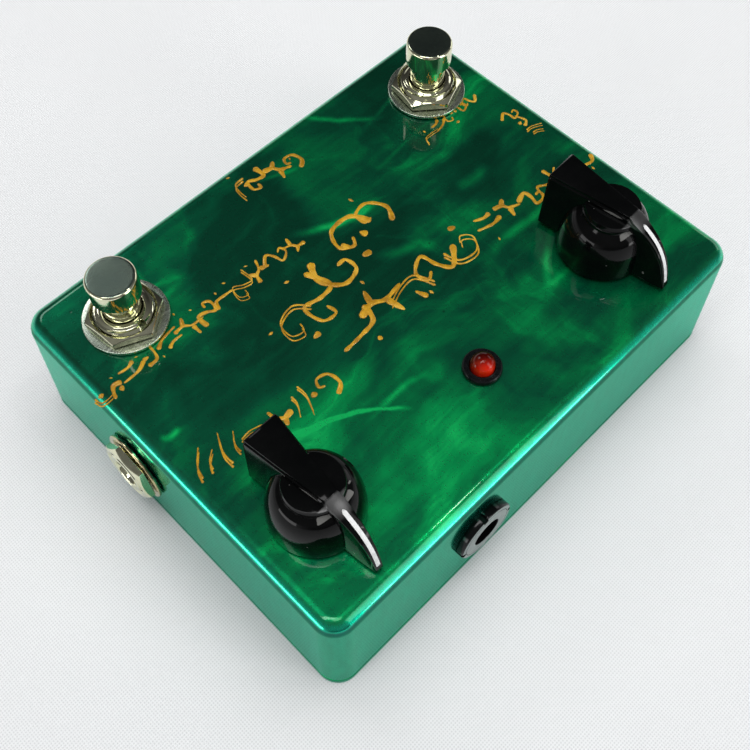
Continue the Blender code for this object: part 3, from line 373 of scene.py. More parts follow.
def candy_paint():
    """Brushed metallic base under a clouded green candy coat and thick gloss lacquer, with painted light on
    the walls and edges: a paler wall tone, a dark fold and a bright crest.
    """
    look = Look("candy_green_paint", 0.75)
    panel = look.ramp(
        brushed_base(look),
        (0.05, (0.0, 0.076, 0.036)),
        (0.28, (0.0, 0.134, 0.058)),
        (0.50, (0.0, 0.255, 0.080)),
        (0.72, (0.0, 0.490, 0.125)),
        (0.92, (0.010, 0.840, 0.200)),
    )
    tilt = look.parts(look.node("NewGeometry").outputs["Normal"])["Z"]
    brushed = look.span(look.noise(700.0, 4.0, 0.6, vector=look.mapped((1.0, 1.0, 0.25))), 0.3, 0.7)
    # Wall tone, paler and bluer than the panel: painted reflection of the pale floor.
    color = look.mix(brushed, (0.0, 0.185, 0.145), (0.0, 0.26, 0.20))
    # Dark band where the edge turns down to the wall: painted shade.
    painted_fold_shade = look.mix(brushed, (0.0, 0.11, 0.075), (0.0, 0.15, 0.105))
    # Bright band on the crest of the edge: painted highlight.
    edge = look.mix(brushed, (0.0, 0.42, 0.24), (0.0, 0.54, 0.33))
    # From the walls over the edge's fold and crest to the panel, as the surface turns up; the wall, fold
    # and crest tones are painted reflection, painted shade and painted highlight.
    for tone, low, high in ((painted_fold_shade, 0.06, 0.30), (edge, 0.48, 0.62), (panel, 0.72, 0.97)):
        color = look.mix(look.span(tilt, low, high), color, tone)
    nibs = look.specks(300.0, 0, 0.965, 0.03, 0.12)
    grain = look.noise(2200.0, 3.0, vector=look.mapped((1.0, 0.6, 1.0), 15))
    satin = look.math("SUBTRACT", look.span(grain, 0.3, 0.7, 0.27, 0.31), EDGE_ROUGHNESS)
    rough = look.plus(EDGE_ROUGHNESS, look.times(satin, look.span(tilt, 0.50, 0.93)))
    nubs = look.specks(210.0, 1, 0.93, 0.0, 0.13)
    height = look.plus(look.noise(110.0, 2.0, 0.4), look.math("SUBTRACT", look.times(nubs, 1.1), nibs))
    look.bump(height, 0.09, 0.6, "Coat Normal")
    return look.done(
        look.mix(look.times(nibs, 0.6), color, (0.0, 0.03, 0.02)), rough, (grain, 0.003, 0.2),
        metallic=look.span(tilt, 0.50, 0.93, 0.96, 0.75), specular_tint=(0.1, 0.9, 0.6),
        coat_weight=look.span(tilt, 0.30, 0.70, 0.30, 1.0), coat_roughness=0.03, coat_ior=1.42,
    )


def gold_paint():
    look = Look("gold_brush_paint", 0.25)
    streak = look.noise(420.0, 4.0, 0.6)
    blot = look.noise(150.0, 3.0)
    tone = look.mix(look.span(streak, 0.3, 0.7), (0.36, 0.165, 0.003), (0.70, 0.38, 0.012))
    return look.done(
        look.mix(look.span(blot, 0.5, 0.75), tone, (0.80, 0.48, 0.045)),
        look.span(blot, 0.3, 0.7, 0.30, 0.5), (streak, 0.06, 0.7), coat_weight=0.5, coat_roughness=0.12,
    )


def plated(name, color, dark, rough_low, rough_high, scuff=0.35, grain=(1, 1, 1)):
    """Plated metal: tone drifts slowly, fine scuffs break the gloss."""
    look = Look(name, 1.0)
    drift = look.span(look.noise(180.0, 4.0, 0.6), 0.35, 0.7)
    fine = look.noise(1500.0, 3.0, 0.6, vector=look.mapped(grain))
    hairs = look.hairs(900.0, 2.0, 0.05, (33, -20), ((0.66, 0.72), (0.67, 0.73)))
    base = look.mix(drift, color, dark)
    rough = look.plus(look.span(fine, 0.3, 0.7, rough_low, rough_high), look.times(hairs, 0.08))
    height = look.math("SUBTRACT", fine, look.times(hairs, 0.6))
    color = look.mix(look.times(hairs, scuff), base, (0.93, 0.91, 0.86))
    return look.done(color, rough, (height, 0.012, 0.6))


def knob_plastic():
    """Polished black phenolic with handling scratches, dust and a satin, rubbed bend."""
    look = Look("knob_black_phenolic")
    smudge = look.noise(160.0, 4.0, 0.6)
    hairs = look.hairs(420.0, 1.0, 0.03, (52, 14), ((0.735, 0.75), (0.74, 0.755)))
    dust = look.specks(620.0, 0, 0.984, 0.03, 0.10)
    marks = look.math("MAXIMUM", look.times(hairs, 0.35), look.times(dust, 0.8))
    base = look.mix(look.span(smudge, 0.3, 0.8), (0.0012, 0.0014, 0.0015), (0.0026, 0.0028, 0.0029))
    rough = look.plus(look.span(smudge, 0.35, 0.75, 0.06, 0.15), look.times(marks, 0.3))
    height = look.math("SUBTRACT", look.noise(260.0, 2.0), hairs)
    _, along_fin, rise = look.parts(look.where)
    bend = look.times(
        look.span(along_fin, 4.3 * MM, 4.8 * MM), look.span(along_fin, 6.2 * MM, 8.8 * MM, 1.0, 0.0)
    )
    rubbed = look.times(bend, look.span(rise, 44.9 * MM, 45.2 * MM))
    return look.done(
        look.mix(marks, base, (0.42, 0.42, 0.40)), rough, (height, 0.02, 0.35), specular_ior_level=0.16,
        coat_weight=look.times(rubbed, look.span(smudge, 0.2, 0.6, 0.7, 1.0)),
        coat_roughness=0.34, coat_ior=2.4,
    )


def moulded(name, dark, light, rough_low, rough_high, scale=500.0, depth=0.03, shine=0.5):
    """Moulded plastic: fine spark-eroded grain, slightly uneven tone."""
    look = Look(name)
    grain = look.noise(scale, 4.0, 0.6)
    color = look.mix(look.span(look.noise(scale * 0.12, 3.0), 0.3, 0.7), dark, light)
    rough = look.span(grain, 0.3, 0.7, rough_low, rough_high)
    return look.done(color, rough, (grain, depth, 0.5), specular_ior_level=shine)


def pointer_white():
    look = Look("pointer_white_fill")
    wear = look.noise(700.0, 4.0, 0.6)
    color = look.mix(look.span(wear, 0.35, 0.75), (0.86, 0.87, 0.87), (0.70, 0.71, 0.71))
    return look.done(color, look.span(wear, 0.3, 0.7, 0.28, 0.45), (wear, 0.02, 0.5))


def lens_red():
    """Clear-coated red epoxy, its tone set by which way the dome faces: deep red up and back as painted
    shade, bright orange-red toward the front as a painted glow of the unlit lens.
    """
    look = Look("lens_red_epoxy")
    haze = look.noise(900.0, 4.0, 0.6)
    x, y, _ = look.parts(look.node("NewGeometry").outputs["Normal"])
    # Ramp over the normal: dark where the dome faces up and back, bright toward +X and +Y: painted shade
    # and painted glow.
    front = look.plus(look.times(x, 0.55), look.times(y, 0.75))
    tone = look.ramp(
        look.plus(look.times(front, 0.5), 0.5),
        (0.25, (0.020, 0.0006, 0.0003)),
        (0.50, (0.070, 0.0014, 0.0004)),
        (0.70, (0.280, 0.0050, 0.0006)),
        (0.90, (0.800, 0.0160, 0.0020)),
    )
    # Amber haze on the +X side: painted reflection of the pale room.
    painted_amber_reflection = look.times(look.span(x, 0.1, 0.8), look.span(haze, 0.35, 0.65))
    return look.done(
        look.mix(look.times(painted_amber_reflection, 0.35), tone, (0.30, 0.035, 0.004)),
        look.span(haze, 0.3, 0.7, 0.02, 0.05), (haze, 0.003, 0.2), specular_ior_level=0.35,
        subsurface_weight=0.12, subsurface_radius=(1.0, 0.1, 0.05), subsurface_scale=0.0008,
    )


def laminate():
    look = Look("board_solder_mask")
    weave = look.weave(900.0)
    tracks = look.cells(170.0, look.mapped((1, 1, 0)), feature="DISTANCE_TO_EDGE")
    mask = look.mix(look.span(tracks, 0.03, 0.06), (0.01, 0.20, 0.08), (0.008, 0.11, 0.045))
    color = look.mix(look.times(weave, 0.2), mask, (0.02, 0.22, 0.10))
    rough = look.span(look.noise(300.0), 0.3, 0.7, 0.3, 0.45)
    return look.done(color, rough, (look.plus(weave, tracks), 0.02, 0.4))


def cloth_floor():
    """Plain pale cloth with a fine weave and soft darker patches of painted fold shade."""
    look = Look("pale_cloth")
    weave = look.weave(560.0, 0.5)
    drift = look.noise(4.0, 4.0)
    # Soft darker patches standing for cloth folds: painted shade.
    painted_crease_shade = look.span(look.noise(9.0, 3.0, 0.5, 0.8), 0.35, 0.65)
    tone = look.mix(look.span(drift, 0.3, 0.7), (0.83, 0.84, 0.85), (0.87, 0.88, 0.89))
    tone = look.mix(look.times(painted_crease_shade, 0.10), tone, (0.70, 0.71, 0.72))
    color = look.mix(look.times(weave, 0.55), tone, (0.52, 0.53, 0.54))
    return look.done(color, look.span(drift, 0.0, 1.0, 0.8, 0.9), (weave, 0.10, 0.35))


# --- mesh helpers ---
def smooth(obj, angle=SHARP):
    obj.data.shade_smooth()
    obj.data.set_sharp_from_angle(angle=angle)
    return obj


def solid(name, verts, faces, mat=None, angle=SHARP):
    """Mesh object from points in millimetres and faces, facing out, smooth but for its sharp edges."""
    mesh = bpy.data.meshes.new(name)
    mesh.from_pydata([[size * MM for size in v] for v in verts], [], faces)
    work = bmesh.new()
    work.from_mesh(mesh)
    bmesh.ops.remove_doubles(work, verts=work.verts, dist=WELD * MM)
    bmesh.ops.recalc_face_normals(work, faces=work.faces)
    work.to_mesh(mesh)
    work.free()
    obj = bpy.data.objects.new(name, mesh)
    bpy.context.scene.collection.objects.link(obj)
    if mat is not None:
        mesh.materials.append(mat)
    return smooth(obj, angle)


def stack(name, rows, closed=False, mat=None, angle=SHARP):
    """Solid from rings of equal point count: capped at both ends, or closed on itself."""
    count = len(rows[0])
    verts = [point for row in rows for point in row]
    faces = []
    pairs = len(rows) if closed else len(rows) - 1
    for row in range(pairs):
        upper = row * count
        lower = ((row + 1) % len(rows)) * count
        for col in range(count):
            nxt = (col + 1) % count
            faces.append((upper + col, upper + nxt, lower + nxt, lower + col))
    if not closed:
        faces.append(tuple(range(count)))
        faces.append(tuple(range(len(verts) - count, len(verts))))
    return solid(name, verts, faces, mat, angle)


def turned(name, profile, segments=FINE, closed=False, shape=None, mat=None, angle=SHARP):
    """Solid turned about Z from (radius, height) points; shape may vary the radius."""
    rows = []
    for radius, height in profile:
        row = []
        for col in range(segments):
            turn = 2.0 * pi * col / segments
            reach = shape(radius, height, turn) if shape else radius
            row.append((reach * cos(turn), reach * sin(turn), height))
        rows.append(row)
    return stack(name, rows, closed, mat, angle)


def threaded(pitch, depth, share):
    """Shape for turned(): a helical thread where share(radius, height) is over nothing."""
    def shape(radius, height, turn):
        phase = (height / pitch - turn / (2.0 * pi)) % 1.0
        return radius - depth * share(radius, height) * abs(2.0 * phase - 1.0)

    return shape


def cut(obj, cutter, operation="DIFFERENCE"):
    """Boolean with the cutter, applied and the cutter removed."""
    mod = obj.modifiers.new("cut", "BOOLEAN")
    mod.operation = operation
    mod.solver = "EXACT"
    mod.object = cutter
    bpy.context.view_layer.update()
    graph = bpy.context.evaluated_depsgraph_get()
    mesh = bpy.data.meshes.new_from_object(obj.evaluated_get(graph))
    obj.modifiers.clear()
    obj.data = mesh
    bpy.data.objects.remove(cutter, do_unlink=True)
    return obj


def even_shading(obj):
    """Large flat faces keep flat shading beside their rounded edges."""
    mod = obj.modifiers.new("even", "WEIGHTED_NORMAL")
    mod.keep_sharp = True
    mod.weight = 100
    return obj


def box_mesh(name, size, centre=(0, 0, 0)):
    half = [s / 2.0 for s in size]
    verts = [
        (centre[0] + i * half[0], centre[1] + j * half[1], centre[2] + k * half[2])
        for k in (-1, 1) for j in (-1, 1) for i in (-1, 1)
    ]
    faces = [(0, 1, 3, 2), (4, 6, 7, 5), (0, 4, 5, 1), (2, 3, 7, 6), (0, 2, 6, 4), (1, 5, 7, 3)]
    return solid(name, verts, faces)


def bake_place(obj, matrix):
    obj.data.transform(matrix)
    return obj


def shift(x, y, z=0.0):
    """Matrix of a move given in millimetres."""
    return Matrix.Translation((x * MM, y * MM, z * MM))


def spin(degrees, axis="Z"):
    return Matrix.Rotation(radians(degrees), 4, axis)


def middle(node):
    low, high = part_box(node)
    return (low + high) / 2.0 / MM


def heights(node):
    """Lowest and highest point of a CAD node."""
    low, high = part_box(node)
    return low.z / MM, high.z / MM


def upright(node, degrees=0.0):
    """Frame on a node's axis at z = 0, turned about Z."""
    spot = middle(node)
    return shift(spot.x, spot.y) @ spin(degrees)


def wall_frame(node, out_x, out_y, depth):
    """Frame on a drafted wall's face, +Z out, for a node whose middle lies depth outside it."""
    out = Vector((out_x * cos(DRAFT), out_y * cos(DRAFT), sin(DRAFT)))
    base = middle(node) - out * depth
    if out_x:
        lean = spin(out_x * (90.0 - DRAFT_DEGREES), "Y")
    else:
        lean = spin(DRAFT_DEGREES - 90.0, "X")
    return shift(*base) @ lean


def finish_piece(obj, body, nodes=(), mat=None, at=None):
    """Gives a piece its place, material and body, and hides the CAD nodes it stands for."""
    if at is not None:
        obj.matrix_world = at
    if mat is not None:
        obj.data.materials.clear()
        obj.data.materials.append(mat)
    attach(obj, body)
    if nodes:
        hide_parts(*nodes)
    return obj


# --- box and cover ---
def outline(inset, height, corner):
    """Points round the drafted box at a height, drawn in by an inset."""
    half_x = BOX_LENGTH / 2.0 - inset - height * SLOPE
    half_y = BOX_DEPTH / 2.0 - inset - height * SLOPE
    points = []
    for index, (sx, sy) in enumerate(((1, 1), (-1, 1), (-1, -1), (1, -1))):
        for step in range(CORNER_STEPS + 1):
            turn = pi / 2.0 * (index + step / CORNER_STEPS)
            points.append((
                sx * (half_x - corner) + corner * cos(turn),
                sy * (half_y - corner) + corner * sin(turn),
                height,
            ))
    return points


def drafted(name, low, high, inset, corner, low_break, top_round, steps):
    """Drafted block with a broken lower edge and a round upper edge."""
    rows = [outline(inset + low_break, low, corner - low_break), outline(inset, low + low_break, corner)]
    for step in range(steps + 1):
        turn = pi / 2.0 * step / steps
        drawn = top_round * (1.0 - cos(turn))
        height = high - top_round * (1.0 - sin(turn))
        rows.append(outline(inset + drawn, height, corner - drawn))
    return stack(name, rows)


def pillar(name, x, y, radius, low, high, segments=COARSE):
    obj = turned(name, [(radius, high), (radius, low)], segments)
    return bake_place(obj, shift(x, y))


def build_box(paint):
    shell = drafted("box_shell", SHELL_FOOT, BOX_TOP, 0.0, CORNER_R, FOOT_BREAK, TOP_R, FILLET_STEPS)
    cavity = drafted("box_cavity", -2.0, PANEL_UNDER, WALL, 3.0, 0.1, 1.0, 3)
    for sx, sy in CORNERS:
        cut(cavity, pillar("boss", sx * BOSS_X, sy * BOSS_Y, BOSS_R, -3.0, BOX_TOP))
    cut(shell, cavity)
    for sx, sy in CORNERS:
        cut(shell, pillar("pilot", sx * BOSS_X, sy * BOSS_Y, PILOT_R, -1.0, PILOT_TOP))
    holes = [("footswitch_%s_washer" % side, SWITCH_HOLE_R) for side, _, _ in SWITCHES]
    holes += [("pot_%s_washer" % side, POT_HOLE_R) for side, _ in KNOBS]
    for node, radius in holes + [("led_bezel", LAMP_HOLE_R)]:
        spot = middle(node)
        cut(shell, pillar("hole", spot.x, spot.y, radius, CUT_LOW, CUT_HIGH))
    for node, out_x, out_y, radius in (
        ("input_jack_washer", 1, 0, JACK_HOLE_R),
        ("output_jack_washer", -1, 0, JACK_HOLE_R),
        ("dc_jack_nut", 0, 1, INLET_HOLE_R),
    ):
        drill = turned("drill", [(radius, 4.0), (radius, -8.0)], COARSE)
        cut(shell, bake_place(drill, wall_frame(node, out_x, out_y, 1.0)))
    smooth(shell, CAST_SHARP)
    even_shading(shell)
    finish_piece(shell, "root", ["enclosure"], paint)


def build_cover(paint, steel):
    cover = drafted("box_cover", 0.0, COVER_T, 0.0, CORNER_R, 0.35, 0.2, 2)
    lip = drafted("lip", COVER_T / 2.0, LIP_TOP, WALL + GAP, 3.0, 0.05, 0.15, 1)
    room = drafted("room", 0.0, LIP_TOP + GAP, WALL + GAP + LIP_T, 2.5, 0.05, 0.05, 1)
    cut(lip, room)
    for sx, sy in CORNERS:
        cut(lip, pillar("clear", sx * BOSS_X, sy * BOSS_Y, BOSS_R + 2.0 * GAP, 0.0, LIP_TOP + GAP))
    cut(cover, lip, "UNION")
    for index, (sx, sy) in enumerate(CORNERS):
        sink = turned("sink", [(1.9, 2.0), (1.9, 1.4), (3.3, 0.4), (3.3, -GAP)], COARSE)
        cut(cover, bake_place(sink, shift(sx * BOSS_X, sy * BOSS_Y)))
        build_cover_screw("cover_screw_%d" % (index + 1), steel)
    smooth(cover, CAST_SHARP)
    even_shading(cover)
    finish_piece(cover, "root", ["bottom_cover"], paint)


def build_cover_screw(node, steel):
    """Countersunk cross-head screw with a coarse thread."""
    def share(radius, height):
        return radius >= 1.5 and 1.8 <= height <= 11.2

    rows = [(0.9, 12.0), (1.3, 11.3)]
    rows += [(1.6, 11.2 - 0.2 * step) for step in range(47)]
    rows += [(1.6, 1.5), (2.95, 0.5), (3.0, 0.4), (2.8, 0.2)]
    screw = turned(node + "_look", rows, COARSE, shape=threaded(SCREW_PITCH, SCREW_DEPTH, share))
    for size in ((3.6, 0.7), (0.7, 3.6)):
        cut(screw, box_mesh("slot", (size[0], size[1], 1.4), (0, 0, 0.2)))
    smooth(screw)
    finish_piece(screw, "root", [node], steel, at=upright(node))


# --- footswitches ---
def hex_reach(across, turn):
    """Distance from the middle to a hexagon's side, its corners a little worn."""
    sixth = radians(60.0)
    off = (turn + sixth / 2.0) % sixth - sixth / 2.0
    return min(across / 2.0 / cos(sixth / 2.0 - abs(off)), across / sqrt(3.0) * 0.992)


def hex_nut(name, across, bore, low, high, mat):
    """Nut with its corners turned off at 30 degrees and small breaks on every edge."""
    segments = 144
    circle = across / 2.0 * 0.96
    fall = tan(radians(30.0))
    brk = 0.12
    columns = []
    for col in range(segments):
        turn = 2.0 * pi * col / segments
        reach = hex_reach(across, turn)
        shoulder = high - max(0.0, reach - circle) * fall
        profile = (
            (bore, high - 0.45),
            (bore + 0.40, high - 0.06),
            (bore + 0.48, high),
            (circle, high),
            (reach - brk, min(high, shoulder + brk * fall)),
            (reach, shoulder - brk),
            (reach, low + brk),
            (reach - brk, low),
            (bore, low),
        )
        columns.append([(r * cos(turn), r * sin(turn), z) for r, z in profile])
    return stack(name, list(zip(*columns)), closed=True, mat=mat, angle=radians(20.0))


def ring_profile(bore, outer, low, high, edge, steps=3):
    """Rectangular section of a ring, its four corners rounded by short curves."""
    corners = [Vector(point) for point in ((bore, high), (outer, high), (outer, low), (bore, low))]
    profile = []
    for index, here in enumerate(corners):
        before = corners[index - 1] - here
        after = corners[(index + 1) % 4] - here
        start = here + before.normalized() * min(edge, before.length * 0.45)
        end = here + after.normalized() * min(edge, after.length * 0.45)
        for step in range(steps + 1):
            t = step / steps
            spot = start * (1 - t) ** 2 + here * 2 * t * (1 - t) + end * t * t
            profile.append((spot.x, spot.y))
    return profile


def build_footswitch(side, nut_turn, key_turn, mats):
    tag = "footswitch_" + side
    centre = upright(tag + "_bushing")
    profile = ring_profile(SWITCH_HOLE_R, WASHER_R, *heights(tag + "_washer"), 0.14)
    washer = turned(tag + "_washer_look", profile, mat=mats["washer"])
    finish_piece(washer, "root", [tag + "_washer"], at=centre)

    nut = hex_nut(tag + "_nut_look", NUT_AF, SWITCH_HOLE_R - 0.05, *heights(tag + "_nut"), mats["nickel"])
    finish_piece(nut, "root", [tag + "_nut"], at=centre @ spin(nut_turn))

    build_bushing(tag, centre, key_turn, mats["nickel"])
    build_button(tag, centre, mats)


def build_bushing(tag, centre, key_turn, nickel):
    """Threaded bushing with a stepped, chamfered nose and a keyway, on its strap frame."""
    top = heights(tag + "_bushing")[1]
    strap_low = 25.2
    thread_top = top - 0.36

    def share(radius, height):
        if radius < BUSH_R - 0.01 or height > thread_top or height < 27.0:
            return 0.0
        return min(1.0, (thread_top - height) / 0.1)

    rows = [(BUSH_BORE, strap_low), (BUSH_BORE, top - 0.16), (BUSH_BORE + 0.05, top - 0.04)]
    rows += [(BUSH_BORE + 0.16, top), (4.86, top), (4.98, top - 0.05)]
    rows += [(5.30, top - 0.28), (5.40, top - 0.33)]
    rows += [(BUSH_R - 0.25, thread_top + 0.01)]
    step = THREAD_PITCH / 6.0
    count = int((thread_top - 31.0) / step)
    rows += [(BUSH_R, thread_top - step * index) for index in range(count)]
    rows += [(BUSH_R, 30.5), (BUSH_R, strap_low)]
    thread = threaded(THREAD_PITCH, THREAD_DEPTH, share)
    bush = turned(tag + "_bushing_look", rows, MID, closed=True, shape=thread)
    strap = box_mesh("strap", (12.4, 18.4, 1.1), (0, 0, 25.75))
    for sign in (1, -1):
        leg = box_mesh("leg", (12.4, 1.0, 9.3), (0, sign * 8.7, 21.65))
        cut(strap, leg, "UNION")
    cut(strap, turned("eye", [(5.0, 28.0), (5.0, 24.0)], MID))
    cut(bush, strap, "UNION")
    key_low = 30.2
    key_size = (KEY_DEPTH * 2.0, KEY_W, top - key_low + 1.0)
    key = box_mesh("key", key_size, (BUSH_R, 0, (top + key_low) / 2.0 + 0.5))
    cut(bush, bake_place(key, spin(key_turn)))
    smooth(bush, radians(30.0))
    finish_piece(bush, "root", [tag + "_bushing"], nickel, at=centre)


def build_button(tag, centre, mats):
    """Cap with a rounded rim on a slightly narrower stem, one satin top in a darker grey-green tone of
    painted shade, one bright side.
    """
    low, top = heights(tag + "_button")
    seam = top - 5.1
    profile = [(1.3, low), (1.3, 31.0), (STEM_R, 31.0), (STEM_R, seam - 0.35)]
    profile += [(STEM_R + 0.1, seam - 0.28), (CAP_R - 0.55, seam - 0.2)]
    profile += [(CAP_R - 0.2, seam - 0.02), (CAP_R, seam + 0.2)]
    rim = 0.62
    for step in range(9):
        turn = pi / 2.0 * step / 8
        profile.append((CAP_R - rim + rim * cos(turn), top - rim + rim * sin(turn)))
    profile += [(CAP_R - rim - 0.25, top), (0.4, top - 0.04)]
    button = turned(tag + "_button_look", profile, FINE, mat=mats["nickel"], angle=ROUNDED_SHARP)
    # Upward faces take the darker grey-green nickel: painted shade on the same metal as the side.
    button.data.materials.append(mats["cap_top"])
    for face in button.data.polygons:
        if face.normal.z > 0.93 and face.center.z > (top - 0.12) * MM:
            face.material_index = 1
    finish_piece(button, tag + "_press", [tag + "_button"], at=centre)


# --- knobs ---
def along(points, y):
    """Height on a chain of (y, z) points, straight between them."""
    for (y0, z0), (y1, z1) in zip(points, points[1:]):
        if y <= y1:
            return z0 + (z1 - z0) * (y - y0) / (y1 - y0)
    return points[-1][1]


def smooth_chain(points, steps):
    """Catmull-Rom curve through (y, z) points."""
    chain = []
    last = len(points) - 1
    for index in range(last):
        p = [Vector(points[max(0, min(last, index + k))]) for k in (-1, 0, 1, 2)]
        for step in range(steps):
            t = step / steps
            spot = 0.5 * (
                2.0 * p[1] + (p[2] - p[0]) * t
                + (2.0 * p[0] - 5.0 * p[1] + 4.0 * p[2] - p[3]) * t * t
                + (3.0 * p[1] - p[0] - 3.0 * p[2] + p[3]) * t ** 3
            )
            chain.append((spot.x, spot.y))
    chain.append(tuple(points[-1]))
    return chain


def fin_half(y):
    """Half width of the fin's top at a distance along it."""
    if y <= FIN_BREAK_Y:
        t = (y - FIN_TAIL) / (FIN_BREAK_Y - FIN_TAIL)
        return FIN_TAIL_HALF + (FIN_BREAK_HALF - FIN_TAIL_HALF) * t
    t = (y - FIN_BREAK_Y) / (FIN_TIP - FIN_BREAK_Y)
    return FIN_BREAK_HALF + (FIN_TIP_HALF - FIN_BREAK_HALF) * min(1.0, t)


def build_fin(tag):
    """Pointer fin lofted from tail to tip, with a ledge under its upper edges."""
    crest = smooth_chain(SLOPE_SIDE, 6)
    stations = [FIN_TAIL + 0.02, FIN_TAIL + 0.18, FIN_TAIL + 0.45]
    stations += [-12.0 + index * 1.15 for index in range(14)]
    stations += [y for y, _ in crest if y > 4.0]
    rows = []
    for y in stations:
        top = FIN_TOP if y < FIN_BREAK_Y else along(crest, y)
        near_tail = y - FIN_TAIL
        if near_tail < 0.5:
            top -= 0.35 * (1.0 - near_tail / 0.5) ** 2
        half = fin_half(y)
        ledge_out = FIN_LEDGE if y < FIN_BREAK_Y else FIN_LEDGE * max(0.0, 1.0 - (y - FIN_BREAK_Y) / 1.2)
        drop = min(FIN_LEDGE_DROP, (top - FIN_LOW) * 0.3)
        flare = FIN_FLARE * min(1.0, (top - FIN_LOW) / 14.0)
        brk = min(0.14, half * 0.3)
        side = [
            (half - ledge_out - brk, top),
            (half - ledge_out - brk * 0.3, top - brk * 0.3),
            (half - ledge_out, top - brk),
            (half - ledge_out, top - drop * 0.86),
            (half - brk * 0.4, top - drop * 0.96),
            (half, top - drop - brk),
            (half + flare, FIN_LOW + 0.12),
            (half + flare - 0.12, FIN_LOW),
        ]
        row = [(x, z) for x, z in side] + [(-x, z) for x, z in reversed(side)]
        ring = []
        for x, z in row:
            bend = FIN_BULGE * (1.0 - (x / (half + flare)) ** 2) * max(0.0, 1.0 - near_tail / 6.0)
            ring.append((x, y - bend, z))
        rows.append(ring)
    return stack(tag + "_fin", rows)


def build_knob(side, turn, mats):
    tag = "knob_" + side
    body = tag + "_turning"
    centre = upright("pot_%s_washer" % side, turn)
    knob = turned(tag + "_look", smooth_dome(), FINE)
    cut(knob, build_fin(tag), "UNION")
    cut(knob, turned("recess", [(7.9, 36.3), (7.9, 30.0)], MID))
    cut(knob, turned("bore", [(5.3, 44.6), (5.3, 30.0)], MID))
    way = turned("way", [(1.5, 12.0), (1.5, -2.0)], COARSE)
    bake_place(way, shift(0.0, 0.0, 40.5) @ spin(-90.0, "Y"))
    cut(knob, way)
    smooth(knob, radians(32.0))
    finish_piece(knob, body, [tag], mats["knob"], at=centre)

    crest = smooth_chain(SLOPE_SIDE, 6)
    stations = [LINE_START, LINE_START + 0.25]
    stations += [y for y, _ in crest if LINE_START < y < LINE_END] + [LINE_END]
    rows = []
    for y in stations:
        z = along(crest, y)
        rise = (along(crest, y + 0.2) - along(crest, y - 0.2)) / 0.4
        normal = Vector((-rise, 1.0)).normalized()
        half = LINE_HALF * min(1.0, sqrt(max(0.02, (y - LINE_START) / 0.5)))
        side = ((half, -0.2), (half, LINE_PROUD * 0.3), (half * 0.8, LINE_PROUD))
        section = [(-x, lift) for x, lift in side] + list(reversed(side))
        rows.append([(x, y + normal.x * lift, z + normal.y * lift) for x, lift in section])
    line = stack(tag + "_pointer_line", rows)
    finish_piece(line, body, (), mats["white"], at=centre)


def smooth_dome():
    """Turned profile of the knob's skirt: flat disc, two small steps, convex dome."""
    head = [(0.3, 45.3), (5.45, 45.3), (5.56, 45.27), (5.6, 45.18)]
    head += [(5.68, 44.3), (5.74, 44.22), (5.84, 44.18), (5.88, 43.7)]
    dome = smooth_chain(DOME, 5)
    return head + dome[:-1] + [(9.3, 32.75), (9.2, 32.62), (9.05, 32.6)]


# --- lamp ---
def build_lamp(mats):
    foot = heights("led_bezel")[0]
    centre = upright("led_bezel")
    top = LAMP_FLANGE + 0.95
    profile = [(2.8, foot), (2.8, top - 0.60), (2.62, top - 0.30)]
    profile += [(2.66, top - 0.06), (2.80, top)]
    for step in range(4):
        r = 2.92 + 0.21 * step
        profile += [(r, top - 0.09), (r + 0.07, top), (r + 0.14, top)]
    profile += [(3.80, top - 0.08), (3.95, top - 0.35), (BEZEL_R, top - 0.6)]
    profile += [(BEZEL_R, LAMP_FLANGE), (3.2, LAMP_FLANGE), (3.2, foot)]
    bezel = turned("led_bezel_look", profile, MID, closed=True, mat=mats["bezel"])
    finish_piece(bezel, "root", ["led_bezel"], at=centre)

    crown = heights("led_lens")[1] - LENS_R
    profile = []
    for step in range(13):
        turn = radians(88.0 * (1.0 - step / 12.0))
        profile.append((LENS_R * cos(turn), crown + LENS_R * sin(turn)))
    base = 25.2
    profile += [(LENS_R, 26.3), (2.8, 26.15), (2.9, 26.0), (2.9, base)]
    lens = turned("led_lens_look", profile, MID, mat=mats["lens"], angle=ROUNDED_SHARP)
    for sign in (1, -1):
        lead = pillar("lead", sign * 1.1, 0.0, 0.3, 18.0, base + 0.2, 16)
        cut(lens, lead, "UNION")
    smooth(lens, ROUNDED_SHARP)
    finish_piece(lens, "root", ["led_lens"], mats["lens"], at=centre)


# --- DC inlet ---
def face_tone(obj, mats, face):
    """Glossy black sides, a paler grey-teal front ring that is a painted reflection of the floor, and a
    matt black bore.
    """
    obj.data.materials.clear()
    for key in ("inlet", "inlet_face", "inlet_bore"):
        obj.data.materials.append(mats[key])
    for poly in obj.data.polygons:
        reach = hypot(poly.center.x, poly.center.y)
        poly.material_index = 0
        # Outward faces of the front: paler grey-teal, painted reflection of the floor.
        if poly.normal.z > 0.9 and poly.center.z > (face - 0.2) * MM:
            poly.material_index = 1
        if reach < 3.35 * MM:
            poly.material_index = 2


